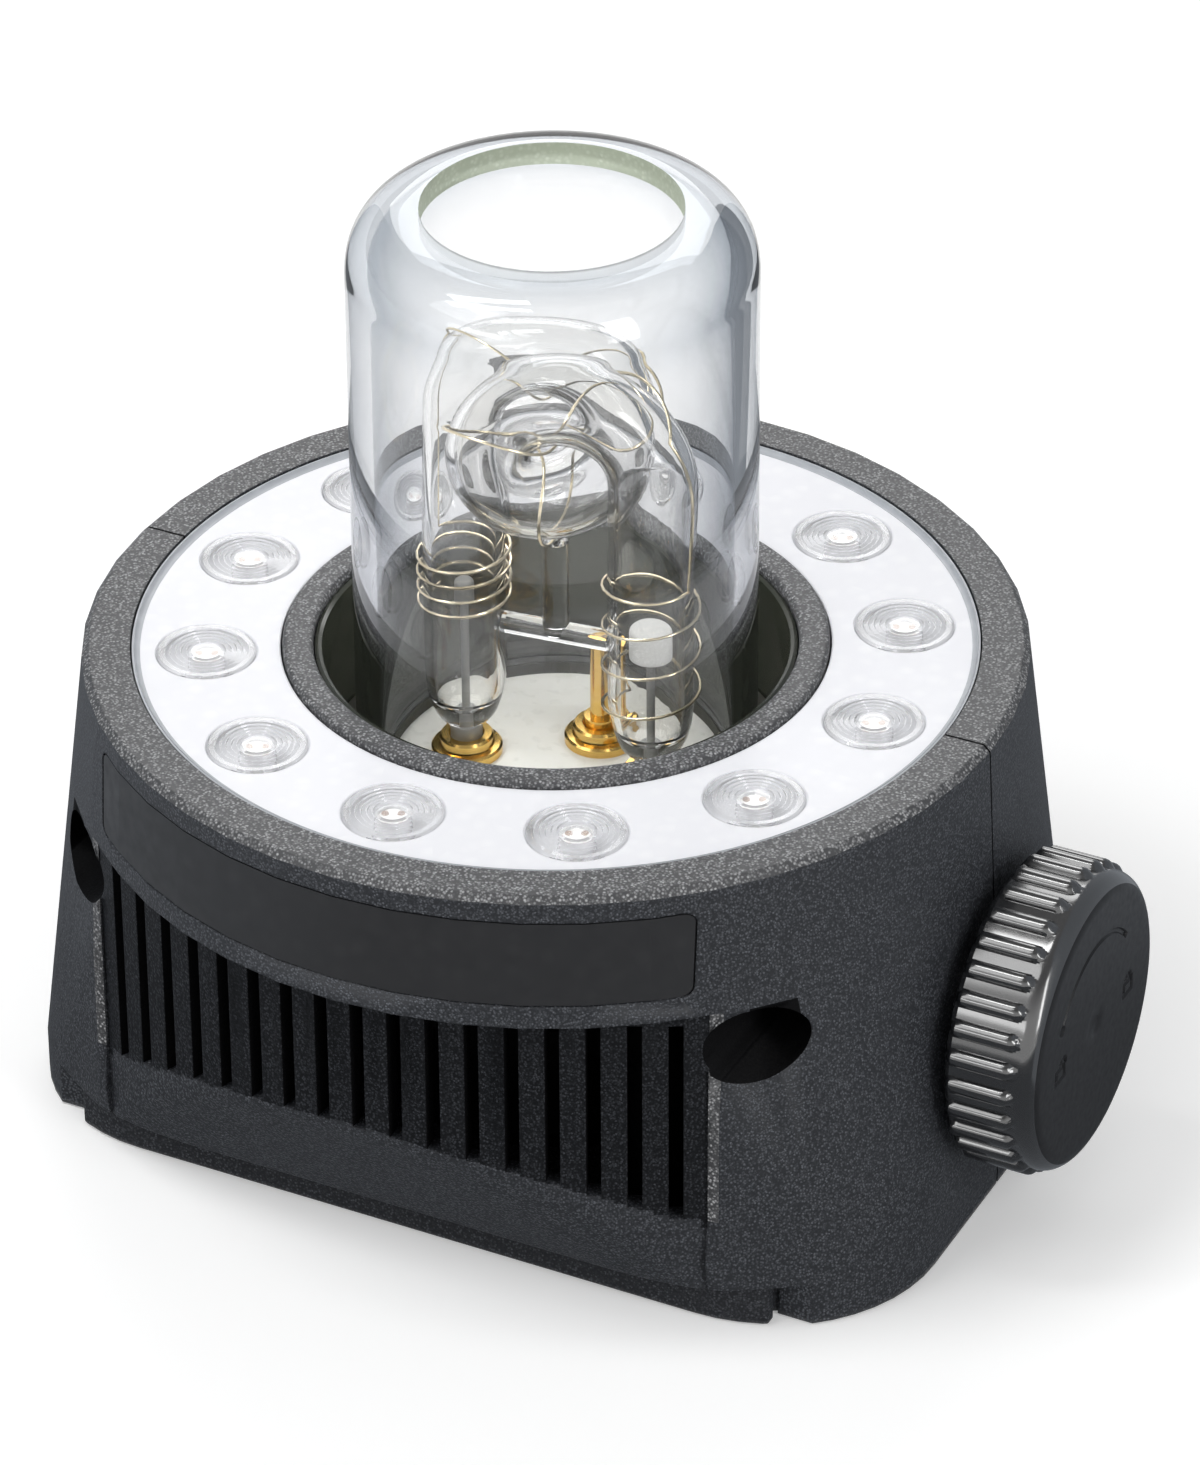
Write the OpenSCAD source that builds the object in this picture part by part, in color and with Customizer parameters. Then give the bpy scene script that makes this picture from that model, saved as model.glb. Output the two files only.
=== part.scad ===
// Studio flash head: a plug-in bare bulb unit. A moulded casing in two halves stands on a base plate,
// a ring of modelling lamps surrounds a well, and in the well a coiled flash tube stands under an
// open glass dome. A quarter-turn knob on the side locks the head to the unit below it.
// Origin: centre of the base, on its underside. +Z is up, -Y is the front grille, +X is the knob.

/* [Casing] */
// Height of the casing, base to rim
casing_h = 61; // [56:0.5:66]
// Radius of the round rim
rim_r = 55.6; // [54:0.1:58]
// Half width of the foot of the casing
foot_half_w = 58; // [57:0.1:62]
// Half depth of the foot of the casing
foot_half_d = 39; // [37:0.5:42]
// Corner radius of the foot
foot_corner_r = 21; // [18:0.5:24]
// Height of the widest front section
belly_z = 21; // [19:0.5:24]
// Front reach of the widest front section
belly_front = 50.5; // [48:0.5:52]
// Wall of the casing
wall = 2.5; // [2:0.1:3]
// Depth of the rim lip
lip_h = 4; // [3:0.1:4.5]
// Chamfer of the rim edge
rim_chamfer = 0.8; // [0.4:0.1:1.2]

/* [Grille] */
// Number of slots in a grille
slot_count = 17; // [9:2:17]
// Width of a slot
slot_w = 1.7; // [1.2:0.1:2.2]
// Slot pitch along the face
slot_pitch = 4.7; // [4.2:0.1:4.7]
// Plan radius of the grille face
grille_r = 78; // [74:0.5:84]
// Front reach of the grille face
grille_front = 51; // [50.5:0.1:51.5]
// Half width of the grille recess
grille_half_w = 39.5; // [39.2:0.1:41]
// Height of the ledge over the grille
ledge_z = 44; // [43:0.5:45]

/* [Label place] */
// Half angle of the bare label plate
label_half_angle = 43; // [36:1:44]
// Height of the label plate
label_h = 10.6; // [8:0.1:11]
// Thickness of the label plate
label_t = 0.4; // [0.3:0.05:0.5]
// Gap from the ledge to the label plate
label_gap = 3; // [2.5:0.1:3.5]
// Corner radius of the label plate
label_corner_r = 1.2; // [0.6:0.1:2]

/* [Lamp ring] */
// Number of lamps
lamp_count = 12; // [8:1:14]
// Radius of the lamp circle
lamp_circle_r = 41; // [40.5:0.1:41.5]
// Diameter of a lamp lens
lens_d = 11.7; // [10:0.1:12]
// Outer radius of the lamp cover
cover_r = 49.7; // [49.2:0.1:50.5]
// Thickness of the lamp cover
cover_t = 2.8; // [2:0.1:3.2]
// Thickness of the lamp board
board_t = 1.6; // [1:0.1:2]

/* [Well] */
// Inner radius of the well liner
well_r = 27.5; // [27:0.1:28]
// Wall of the well liner
liner_t = 0.8; // [0.6:0.1:1]
// Outer radius of the collar round the well
collar_r = 32.1; // [31.5:0.1:33]
// Height of the ceramic floor of the well
floor_z = 43; // [41:0.5:44]
// Thickness of the ceramic floor
floor_t = 3; // [2.5:0.1:4]

/* [Glass dome] */
// Outer radius of the dome
dome_r = 23.7; // [22.5:0.1:24.5]
// Wall of the dome
dome_wall = 2.8; // [2:0.1:3]
// Height of the dome above the casing
dome_above = 57; // [54:0.5:66]
// Radius of the dome shoulder
shoulder_r = 8.6; // [6:0.1:10]
// Thickness of the seal under the dome
seal_t = 1.5; // [1:0.1:2]

/* [Flash tube] */
// Turn of the tube in the well
tube_turn = 27; // [0:1:45]
// Outer diameter of the quartz tube
tube_d = 10; // [8:0.1:10.4]
// Wall of the quartz tube
tube_wall = 1; // [0.7:0.1:1.3]
// Half distance between the legs
leg_half = 10.9; // [10.5:0.1:11.2]
// Offset of each leg from the middle plane
leg_offset = 4; // [3:0.1:4.5]
// Centre-line radius of the coil where it is tightest
coil_r = 6.6; // [6.4:0.1:7]
// Pitch of the coil
coil_pitch = 11.8; // [11.6:0.1:12.2]
// Height of the coil centre above the rim
coil_above = 26; // [24:0.5:28]
// Diameter of the trigger wire
wire_d = 0.4; // [0.3:0.05:0.45]
// Turns of the trigger wire round each leg
wire_turns = 4; // [3:1:5]
// Diameter of the contact pins
pin_d = 3.9; // [3.5:0.1:4.4]
// Depth of the pins in their sockets
pin_depth = 8; // [6:0.5:8]

/* [Lock] */
// Diameter of the knob over its ribs
knob_d = 38; // [34:0.5:40]
// Length of the knob
knob_len = 11.4; // [10:0.1:13]
// Number of ribs on the knob
rib_count = 32; // [24:1:40]
// Height of the knob axis
knob_z = 26.5; // [26:0.5:28]
// Diameter of the lock shaft
shaft_d = 8; // [6:0.1:9]
// Radius of the lobe of the lock cam
cam_reach = 13; // [11:0.5:14]
// Width of the lock cam
cam_w = 6; // [4:0.5:7]

/* [Base] */
// Thickness of the base plate
base_t = 4; // [3:0.1:5]
// Height of the front lip of the base plate
lip_notch_h = 5.5; // [5:0.1:6.5]
// Half width of the front lip
base_lip_half_w = 45.5; // [40:0.5:46]
// Radius of the plug socket
plug_r = 18; // [16:0.1:19]
// Depth of the plug socket
plug_depth = 14; // [10:0.5:16]
// Wall of the plug socket
plug_wall = 2; // [1.5:0.1:2.5]

/* [Fits] */
// Clearance between fixed pieces
gap = 0.2; // [0.1:0.05:0.3]
// Radial clearance of turning and plug fits
run_gap = 0.05; // [0.02:0.01:0.09]

/* [Hidden] */
$fn = 96;
hull_fn = 48;
eps = 0.01;
far = 200;

// Casing: levels and centres that several pieces share
belly_corner_r = 30;
belly_half_w = foot_half_w - 0.6;
belly_corner_d = 42;
belly_bulge_r = 150;
belly_bulge_half_w = 30;
grille_centre_y = grille_r - grille_front;
slot_step = slot_pitch / grille_r * 180 / PI;
slot_top = ledge_z - 1.5;
slot_low_mid = belly_z + 1.5;
slot_low_end = slot_low_mid - 7;
lip_inner_r = cover_r + gap;
lip_clear = 10;
rim_swell = 0.8;
knob_room = 0.4;

// Lamp ring levels
cover_top = casing_h - 0.7;
cover_under = cover_top - cover_t;
lamp_depth = 11.5;
flange_top = casing_h - lamp_depth;
flange_t = 2.5;
flange_r = cover_r - 0.9;
board_top = flange_top + board_t;
skirt_t = 1.4;
lens_flange_t = 1.2;
lens_flange_w = 1;
chip_side = 4.6;
chip_h = 0.9;

// Well levels
liner_r = well_r + liner_t;
core_r = liner_r + gap;
core_wall = 2.6;
floor_under = floor_z - floor_t;
ledge_t = 3;
ledge_r = 22;
post_r = 3.5;
post_place = 25.5;

// Flash tube levels, in the tube's own turned frame
tube_r = tube_d / 2;
leg_end_z = floor_z + 4.5;
coil_z = casing_h + coil_above;
leg_bend = 16;
tube_sides = 12;
leg_rings = 9;
coil_rings = 36;
coil_turns = 1.5;
leg_len = coil_z - leg_end_z;
coil_len = coil_turns * PI * (coil_r + leg_half);
tube_len = 2 * leg_len + coil_len;
leg_part = leg_len / tube_len;
end_wall = 2.2;
end_len = 8;
tip_r = 2;
bore_r = tube_r - tube_wall;
rod_r = 1;
seal_r = rod_r + 0.3;
pellet_r = bore_r - 0.7;
pellet_h = 5;
pellet_top = casing_h + 4;
collar_top = floor_z + 2.5;
socket_r = pin_d / 2 + run_gap;
socket_body_r = socket_r + 1.45;
socket_collar_r = socket_r + 2.35;
socket_len = pin_depth + 4;
trigger_x = 5.2;
trigger_y = 6;
trigger_post_r = 1.2;
trigger_top = casing_h - 4;
bridge_z = casing_h + 1;
bridge_r = 1.3;
stem_r = 1.6;
wire_gap = 0.25;
wire_sides = 6;
wire_rings = 12;
wire_left_pitch = 2;
wire_right_pitch = 4.8;
wire_left_low = bridge_z + 2.2;
wire_right_low = trigger_top - 3.4;
wire_pass_angle = 45;
wire_coil_turns = 4;
wire_coil_clear = 4;
wire_end_angle = 240;

// Dome
dome_bottom = floor_z + seal_t + run_gap;
dome_top = casing_h + dome_above;
dome_in = dome_r - dome_wall;
shoulder_in = shoulder_r - dome_wall;

// Lock
shaft_r = shaft_d / 2;
knob_in_x = max(foot_half_w, rim_r + rim_swell) + knob_room;
shaft_room = 0.5;
knob_skin = 3;
rib_r = 0.9;
knob_r = knob_d / 2 - rib_r;
knob_edge = 2.2;
bush_r = shaft_r + 2.5;
bush_in_x = foot_half_w - 7.2;
bush_out_x = foot_half_w - 1.4;
boss_r = bush_r + 3;
clip_t = 1;
clip_x = bush_in_x - 0.4 - clip_t;
cam_x = 31;
hub_r = shaft_r + 3;
shaft_in_x = cam_x - 1;
catch_half_w = 8;

// Plug socket and its contacts
plug_flange_w = 4;
plug_flange_t = 2;
contact_count = 5;
contact_circle_r = 10;
contact_r = 1.6;
contact_wall = 0.5;
contact_block_t = 4;
contact_tail = 3;
contact_flange_w = 0.7;
contact_flange_t = 1;

// Fasteners and bosses
well_x = grille_half_w + 4;
well_drop = 5;
well_bore_r = 4.75;
well_boss_r = well_bore_r + 2;
well_z = min(ledge_z - well_drop, flange_top - flange_t - well_boss_r - gap);
well_seat_y = 14;
shank_r = 1.75;
head_r = 3;
head_h = 2.4;
screw_reach = 10;
foot_boss_in = [7.9, 13];
foot_boss_x = foot_half_w - foot_boss_in[0];
foot_boss_y = foot_half_d - foot_boss_in[1];
foot_boss_r = 4;
foot_boss_top = 22;
foot_screw_r = 1.5;
foot_head_r = 2.8;
foot_head_h = 1.8;
foot_screw_len = 14;
foot_screw_short = 4;

// Four corner circles of the foot, drawn in by an amount
module foot_corners(inset = 0) {
    dx = foot_half_w - foot_corner_r;
    dy = foot_half_d - foot_corner_r;
    for (x = [-dx, dx], y = [-dy, dy])
        translate([x, y])
            circle(foot_corner_r - inset, $fn = hull_fn);
}

// Rounded outline of the foot
module foot_outline(inset = 0) {
    hull()
        foot_corners(inset);
}

// Corner circles of the belly, with a bulged front and back
module belly_outline(inset = 0) {
    dx = belly_half_w - belly_corner_r;
    dy = belly_corner_d - belly_corner_r;
    for (x = [-dx, dx], y = [-dy, dy])
        translate([x, y])
            circle(belly_corner_r - inset, $fn = hull_fn);
    for (turn = [0, 180])
        rotate(turn)
            intersection() {
                translate([0, belly_front - belly_bulge_r])
                    circle(belly_bulge_r - inset, $fn = 4 * hull_fn);
                translate([-belly_bulge_half_w, 0])
                    square([2 * belly_bulge_half_w, belly_front + 1]);
            }
}

// Convex outer form of the casing, drawn in by an amount, between two levels
module casing_form(inset = 0, top = casing_h, bottom = 0) {
    hull() {
        translate([0, 0, top - eps])
            cylinder(r = rim_r - inset - rim_chamfer, h = eps, $fn = hull_fn);
        translate([0, 0, top - rim_chamfer])
            cylinder(r = rim_r - inset, h = eps, $fn = hull_fn);
        translate([0, 0, ledge_z])
            cylinder(r = rim_r + rim_swell - inset, h = eps, $fn = hull_fn);
        translate([0, 0, belly_z])
            linear_extrude(eps)
                belly_outline(inset);
        translate([0, 0, bottom])
            linear_extrude(lip_notch_h - bottom)
                foot_corners(inset);
    }
}

// Space in front of the grille face, up to a top level
module grille_space(face_r, half_w, top) {
    translate([0, 0, -eps])
        linear_extrude(top + eps)
            difference() {
                translate([-half_w, -rim_r - 10])
                    square([2 * half_w, rim_r - 10]);
                translate([0, grille_centre_y])
                    circle(face_r, $fn = 3 * hull_fn);
            }
}

// Row of upright slots through the grille face
module grille_slots() {
    last = (slot_count - 1) / 2;
    for (i = [-last : last]) {
        low = slot_low_mid + (slot_low_end - slot_low_mid) * pow(i / last, 2);
        translate([0, grille_centre_y, low])
            rotate(i * slot_step)
                translate([-slot_w / 2, -grille_r - 1, 0])
                    cube([slot_w, 2 * wall + 1, slot_top - low]);
    }
}

// Hollow inside of the casing
module casing_hollow() {
    difference() {
        casing_form(wall, casing_h - lip_h, -1);
        grille_space(grille_r - wall, grille_half_w + wall, ledge_z + wall);
    }
}

// Bosses that join the casing halves, carry the lock bush and take the base screws
module casing_bosses() {
    for (x = [-well_x, well_x])
        translate([x, 0, well_z])
            rotate([90, 0, 0])
                cylinder(r = well_boss_r, h = 2 * rim_r, center = true);
    translate([bush_in_x, 0, knob_z])
        rotate([0, 90, 0])
            cylinder(r = boss_r, h = knob_in_x - bush_in_x);
    for (x = [-foot_boss_x, foot_boss_x], y = [-foot_boss_y, foot_boss_y])
        translate([x, y, base_t])
            cylinder(r = foot_boss_r, h = foot_boss_top - base_t);
}

// Both casing halves in one, before they are parted
module casing() {
    difference() {
        union() {
            difference() {
                casing_form();
                casing_hollow();
            }
            intersection() {
                casing_bosses();
                casing_form(wall / 2);
            }
        }
        translate([0, 0, casing_h - lip_h - 1])
            cylinder(r = lip_inner_r, h = lip_h + 2);
        grille_space(grille_r, grille_half_w, ledge_z);
        grille_slots();
        for (turn = [0, 180])
            rotate(turn)
                translate([-foot_half_w, -foot_half_d - lip_clear, -1])
                    cube([2 * foot_half_w, wall + lip_clear + 2, lip_notch_h + 1]);
        translate([bush_in_x - 1, 0, knob_z])
            rotate([0, 90, 0])
                cylinder(r = bush_r + run_gap, h = knob_in_x - bush_in_x + 2);
        translate([shaft_in_x, 0, knob_z])
            rotate([0, 90, 0])
                cylinder(r = shaft_r + shaft_room, h = bush_in_x - shaft_in_x);
        for (x = [-foot_boss_x, foot_boss_x], y = [-foot_boss_y, foot_boss_y])
            translate([x, y, base_t - 1])
                cylinder(r = foot_screw_r + run_gap, h = foot_screw_len);
        for (x = [-well_x, well_x])
            translate([x, screw_reach + 1, well_z])
                rotate([90, 0, 0])
                    cylinder(r = shank_r + run_gap, h = screw_reach + well_seat_y + 2);
    }
}

// Region of the label place: a rounded outline, seen from the front
module label_region(margin = 0) {
    half_w = rim_r * sin(label_half_angle);
    flat_w = 2 * (half_w - label_corner_r);
    flat_h = label_h - 2 * label_corner_r;
    translate([0, 0, ledge_z + label_gap + label_h / 2])
        rotate([90, 0, 0])
            linear_extrude(2 * rim_r)
                offset(r = label_corner_r + margin, $fn = hull_fn)
                    square([flat_w, flat_h], center = true);
}

module front_shell() {
    color("#26282b")
        difference() {
            intersection() {
                casing();
                translate([-far / 2, -far, -1])
                    cube([far, far, far]);
            }
            difference() {
                label_region(gap);
                casing_form(label_t + gap / 2);
            }
            for (x = [-well_x, well_x])
                translate([x, -well_seat_y, well_z])
                    rotate([90, 0, 0])
                        cylinder(r = well_bore_r, h = rim_r);
        }
}

module rear_shell() {
    color("#242629")
        intersection() {
            casing();
            translate([-far / 2, 0, -1])
                cube([far, far, far]);
        }
}

module base_plate() {
    color("#1d1e20")
        difference() {
            union() {
                linear_extrude(base_t)
                    foot_outline(wall + gap);
                linear_extrude(lip_notch_h - gap)
                    intersection() {
                        difference() {
                            foot_outline(gap);
                            square([far, 2 * (foot_half_d - wall - 1)], center = true);
                        }
                        square([2 * base_lip_half_w, far], center = true);
                    }
            }
            translate([0, 0, -1])
                cylinder(r = plug_r + plug_wall + gap, h = base_t + 2);
            translate([cam_x - 1, -catch_half_w, -1])
                cube([cam_w + 2, 2 * catch_half_w, base_t + 2]);
            for (x = [-foot_boss_x, foot_boss_x], y = [-foot_boss_y, foot_boss_y])
                translate([x, y, 0]) {
                    translate([0, 0, -1])
                        cylinder(r = foot_screw_r + gap, h = base_t + 2);
                    translate([0, 0, -1])
                        cylinder(r = foot_head_r + gap, h = 1 + foot_head_h + gap);
                }
        }
}

module label_plate() {
    color("#2c2e31")
        intersection() {
            label_region();
            difference() {
                casing_form(run_gap);
                casing_form(label_t);
            }
        }
}

module chassis() {
    color("#3a3c3f") {
        rotate_extrude()
            polygon([
                [ledge_r, floor_under - ledge_t],
                [core_r + core_wall, floor_under - ledge_t],
                [core_r + core_wall, flange_top - flange_t],
                [flange_r, flange_top - flange_t],
                [flange_r, flange_top],
                [core_r, flange_top],
                [core_r, floor_under],
                [ledge_r, floor_under]
            ]);
        for (x = [-post_place, post_place], y = [-post_place, post_place])
            translate([x, y, base_t])
                cylinder(r = post_r, h = flange_top - flange_t - base_t + eps);
    }
}

module led_board() {
    color("#e8ece8")
        translate([0, 0, flange_top])
            difference() {
                cylinder(r = flange_r, h = board_t);
                translate([0, 0, -1])
                    cylinder(r = collar_r + gap, h = board_t + 2);
            }
}

// Places its children on the lamp circle
module lamp_places() {
    for (i = [0 : lamp_count - 1])
        rotate(i * 360 / lamp_count)
            translate([lamp_circle_r, 0, 0])
                children();
}

module led_chips() {
    color("#f2d34a")
        lamp_places()
            translate([-chip_side / 2, -chip_side / 2, board_top])
                cube([chip_side, chip_side, chip_h]);
}

module led_cover_ring() {
    inner = collar_r + gap;
    color("#eef0f2")
        difference() {
            rotate_extrude()
                polygon([
                    [inner, board_top],
                    [inner + skirt_t, board_top],
                    [inner + skirt_t, cover_under],
                    [cover_r - skirt_t, cover_under],
                    [cover_r - skirt_t, board_top],
                    [cover_r, board_top],
                    [cover_r, cover_top],
                    [inner, cover_top]
                ]);
            lamp_places()
                translate([0, 0, cover_under - 1])
                    cylinder(d = lens_d + gap, h = cover_t + 2);
        }
}

// Clear lens with a stepped top, held by a flange behind the cover
module lens() {
    step = lens_d / 12;
    groove = 0.3;
    top = cover_top + 0.1;
    rotate_extrude()
        polygon([
            [0, cover_under - lens_flange_t],
            [lens_d / 2 + lens_flange_w, cover_under - lens_flange_t],
            [lens_d / 2 + lens_flange_w, cover_under],
            [lens_d / 2, cover_under],
            [lens_d / 2, top],
            [5 * step, top],
            [5 * step, top - groove],
            [4 * step, top],
            [4 * step, top - groove],
            [3 * step, top],
            [3 * step, top - groove],
            [2 * step, top],
            [0, top]
        ]);
}

module led_lenses() {
    color("#dfe6ea", 0.6)
        lamp_places()
            lens();
}

module well_collar() {
    bevel = 0.6;
    color("#3b3d40")
        rotate_extrude()
            polygon([
                [core_r, flange_top],
                [collar_r, flange_top],
                [collar_r, casing_h - bevel],
                [collar_r - bevel, casing_h],
                [core_r + bevel, casing_h],
                [core_r, casing_h - bevel]
            ]);
}

module well_liner() {
    color("#4b4d42")
        translate([0, 0, floor_z])
            difference() {
                cylinder(r = liner_r, h = casing_h - 1 - floor_z);
                translate([0, 0, -1])
                    cylinder(r = well_r, h = casing_h);
            }
}

// Places its children at the two leg sockets and the trigger socket
module socket_places() {
    rotate(tube_turn)
        for (place = [[-leg_half, leg_offset], [leg_half, -leg_offset], [trigger_x, trigger_y]])
            translate(place)
                children();
}

module tube_floor() {
    color("#efe9d2")
        difference() {
            translate([0, 0, floor_under])
                cylinder(r = liner_r, h = floor_t);
            socket_places()
                translate([0, 0, floor_under - 1])
                    cylinder(r = socket_body_r + run_gap, h = floor_t + 2);
        }
}

module tube_sockets() {
    color("#c9a13b")
        socket_places()
            difference() {
                union() {
                    translate([0, 0, floor_z])
                        cylinder(r = socket_collar_r, h = collar_top - floor_z);
                    translate([0, 0, collar_top - socket_len])
                        cylinder(r = socket_body_r, h = socket_len);
                }
                translate([0, 0, collar_top - pin_depth - 1])
                    cylinder(r = socket_r, h = pin_depth + 2);
            }
}

module dome_seal() {
    color("#3c3e36")
        translate([0, 0, floor_z])
            difference() {
                cylinder(r = well_r - gap, h = seal_t);
                translate([0, 0, -1])
                    cylinder(r = dome_in - gap, h = seal_t + 2);
            }
}

// Quarter arc from the side to the top of a shoulder
function arc_points(centre, radius, from, to, steps = 16) =
    [for (i = [0 : steps])
        let (angle = from + (to - from) * i / steps)
        [centre[0] + radius * cos(angle), centre[1] + radius * sin(angle)]];

module glass_dome() {
    centre = [dome_r - shoulder_r, dome_top - shoulder_r];
    color("#dfe8ea", 0.35)
        rotate_extrude()
            polygon(concat(
                [[dome_in, dome_bottom], [dome_r, dome_bottom]],
                arc_points(centre, shoulder_r, 0, 90),
                arc_points(centre, shoulder_in, 90, 0)
            ));
}

// Smooth step from 0 to 1
function ease(t) = let (c = max(0, min(1, t))) c * c * (3 - 2 * c);

// One leg at a height: its foot stands off the middle plane, its head meets the coil
function leg_at(z) =
    let (t = ease((z - coil_z + leg_bend) / leg_bend))
    [leg_half, leg_offset + (coil_turns / 2 * coil_pitch - leg_offset) * t, z];

// Radius of the coil at a turn: as wide as the legs at both ends, and tight in the middle
function coil_radius(turn) =
    leg_half - (leg_half - coil_r) * pow(sin(180 * turn / coil_turns), 1.5);

// Centre line of the tube: up the left leg, round the coil, down the right leg
function tube_at(u) =
    u < leg_part
    ? let (p = leg_at(leg_end_z + leg_len * u / leg_part)) [-p[0], p[1], p[2]]
    : u > 1 - leg_part
    ? let (p = leg_at(leg_end_z + leg_len * (1 - u) / leg_part)) [p[0], -p[1], p[2]]
    : let (turn = (u - leg_part) / (1 - 2 * leg_part) * coil_turns, r = coil_radius(turn))
      [-r * cos(360 * turn), coil_pitch * (coil_turns / 2 - turn), coil_z + r * sin(360 * turn)];

function unit(v) = v / norm(v);
function tube_heading(u) = unit(tube_at(min(1, u + 0.002)) - tube_at(max(0, u - 0.002)));

// Point beside the centre line, at a distance and an angle round it
function beside(u, distance, angle) =
    let (t = tube_heading(u), side = unit(cross(t, [0, 1, 0])), other = cross(t, side))
    tube_at(u) + distance * (side * cos(angle) + other * sin(angle));

// Closed skin over a list of rings, all with the same number of points. The last ring is capped,
// or joined to the first one where the rings go out and come back inside
module skin(rings, joined = false) {
    n = len(rings);
    m = len(rings[0]);
    points = [for (ring = rings) for (p = ring) p];
    sides = [for (k = [0 : joined ? n - 1 : n - 2]) for (j = [0 : m - 1])
        let (i = (j + 1) % m, next = ((k + 1) % n) * m)
        each [[k * m + j, next + i, k * m + i], [k * m + j, next + j, next + i]]];
    caps = concat(
        [for (j = [1 : m - 2]) [0, j, j + 1]],
        [for (j = [1 : m - 2]) let (a = (n - 1) * m) [a, a + j + 1, a + j]]);
    polyhedron(points, joined ? sides : concat(sides, caps));
}

// Stations along the tube, with finer ones round the coil
function tube_stations(first) = concat(
    [for (i = [0 : leg_rings - 1]) first + (leg_part - first) * i / leg_rings],
    [for (i = [0 : coil_rings]) leg_part + (1 - 2 * leg_part) * i / coil_rings],
    [for (i = [leg_rings - 1 : -1 : 0]) 1 - first - (leg_part - first) * i / leg_rings]);

// Radius of the tube's outside near its rounded ends, and of its bore near the sealed ends
function outer_radius(s) =
    s >= end_len ? tube_r : tip_r + (tube_r - tip_r) * sqrt(max(0, 1 - pow(1 - s / end_len, 2)));
function inner_radius(s) =
    s <= end_wall ? seal_r : min(outer_radius(s) - tube_wall, seal_r + 1.5 * (s - end_wall));

function tube_ring(u, r) = [for (j = [0 : tube_sides - 1]) beside(u, r, 360 * j / tube_sides)];

// All stations from end to end, with close ones at the rounded ends
end_steps = [for (i = [0 : 7]) end_len * pow(i / 8, 2) / tube_len];
stations = concat(end_steps, tube_stations(end_len / tube_len), [for (i = [7 : -1 : 0]) 1 - end_steps[i]]);

module flash_tube() {
    last = len(stations) - 1;
    outside = [for (u = stations) tube_ring(u, outer_radius(min(u, 1 - u) * tube_len))];
    inside = [for (k = [last : -1 : 0])
        let (u = stations[k])
        tube_ring(u, inner_radius(min(u, 1 - u) * tube_len))];
    color("#e6ecec", 0.4)
        rotate(tube_turn)
            skin(concat(outside, inside), joined = true);
}

module electrodes() {
    color("#d9d4c6")
        rotate(tube_turn)
            for (side = [-1, 1])
                translate([side * leg_half, -side * leg_offset, 0]) {
                    translate([0, 0, collar_top - pin_depth])
                        cylinder(d = pin_d, h = leg_end_z - 0.1 - collar_top + pin_depth);
                    translate([0, 0, collar_top])
                        cylinder(r = rod_r, h = pellet_top - collar_top);
                    translate([0, 0, pellet_top - pellet_h])
                        cylinder(r = pellet_r, h = pellet_h);
                }
}

module tube_bridge() {
    span = 2 * (norm([leg_half, leg_offset]) - tube_r - run_gap);
    coil_low = coil_z - coil_r - wire_lay_r - wire_r;
    color("#dfe6e8", 0.5)
        rotate(tube_turn)
            rotate(atan2(-leg_offset, leg_half)) {
                translate([-span / 2, 0, bridge_z])
                    rotate([0, 90, 0])
                        cylinder(r = bridge_r, h = span);
                translate([0, 0, bridge_z])
                    cylinder(r = stem_r, h = coil_low - gap - bridge_z);
            }
}

module trigger_pin() {
    color("#d8b052")
        rotate(tube_turn)
            translate([trigger_x, trigger_y, 0]) {
                translate([0, 0, collar_top - pin_depth])
                    cylinder(d = pin_d, h = pin_depth + 1);
                translate([0, 0, collar_top])
                    cylinder(r = trigger_post_r, h = trigger_top - collar_top);
            }
}

// Trigger wire: wound round the whole tube, then across to the trigger pin
wire_r = wire_d / 2;
wire_lay_r = (tube_r + wire_gap + wire_r) / cos(180 / wire_rings);
// Stations of the wire, each a place along the tube and an angle round it: turns on the left leg, a
// pass along the outer side, turns on the coil, another pass, and turns on the right leg
function wire_section(from, to, steps) = [for (i = [0 : steps - 1]) from + (to - from) * i / steps];
wire_left = wire_left_low - leg_end_z;
wire_right = wire_right_low - leg_end_z;
wire_left_from = wire_left / tube_len;
wire_left_to = (wire_left + wire_turns * wire_left_pitch) / tube_len;
wire_right_from = 1 - (wire_right + wire_turns * wire_right_pitch) / tube_len;
wire_right_to = 1 - wire_right / tube_len;
wire_on_coil = leg_part + wire_coil_clear / tube_len;
wire_up_angle = -wire_pass_angle;
wire_down_angle = wire_up_angle + 360 * wire_coil_turns + 2 * wire_pass_angle;
wire_stations = concat(
    wire_section([wire_left_from, wire_up_angle - 360 * wire_turns], [wire_left_to, wire_up_angle],
        wire_turns * wire_rings),
    wire_section([wire_left_to, wire_up_angle], [wire_on_coil, wire_up_angle], wire_rings),
    wire_section([wire_on_coil, wire_up_angle], [1 - wire_on_coil, wire_down_angle],
        wire_coil_turns * 2 * wire_rings),
    wire_section([1 - wire_on_coil, wire_down_angle], [wire_right_from, wire_down_angle], wire_rings),
    wire_section([wire_right_from, wire_down_angle],
        [wire_right_to, wire_down_angle + 360 * (wire_turns - 1) + wire_end_angle - wire_pass_angle],
        wire_turns * wire_rings));
wire_steps = len(wire_stations) - 1;
function wire_wound(k) = beside(wire_stations[k][0], wire_lay_r, wire_stations[k][1]);
wire_last = wire_wound(wire_steps);
wire_pin = [trigger_x, trigger_y, wire_last[2]];
wire_reach = norm(wire_pin - wire_last) - trigger_post_r - 2 * wire_r;
wire_points = concat(
    [for (k = [0 : wire_steps]) wire_wound(k)],
    [for (i = [1 : 3]) wire_last + unit(wire_pin - wire_last) * wire_reach * i / 3]);

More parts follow.
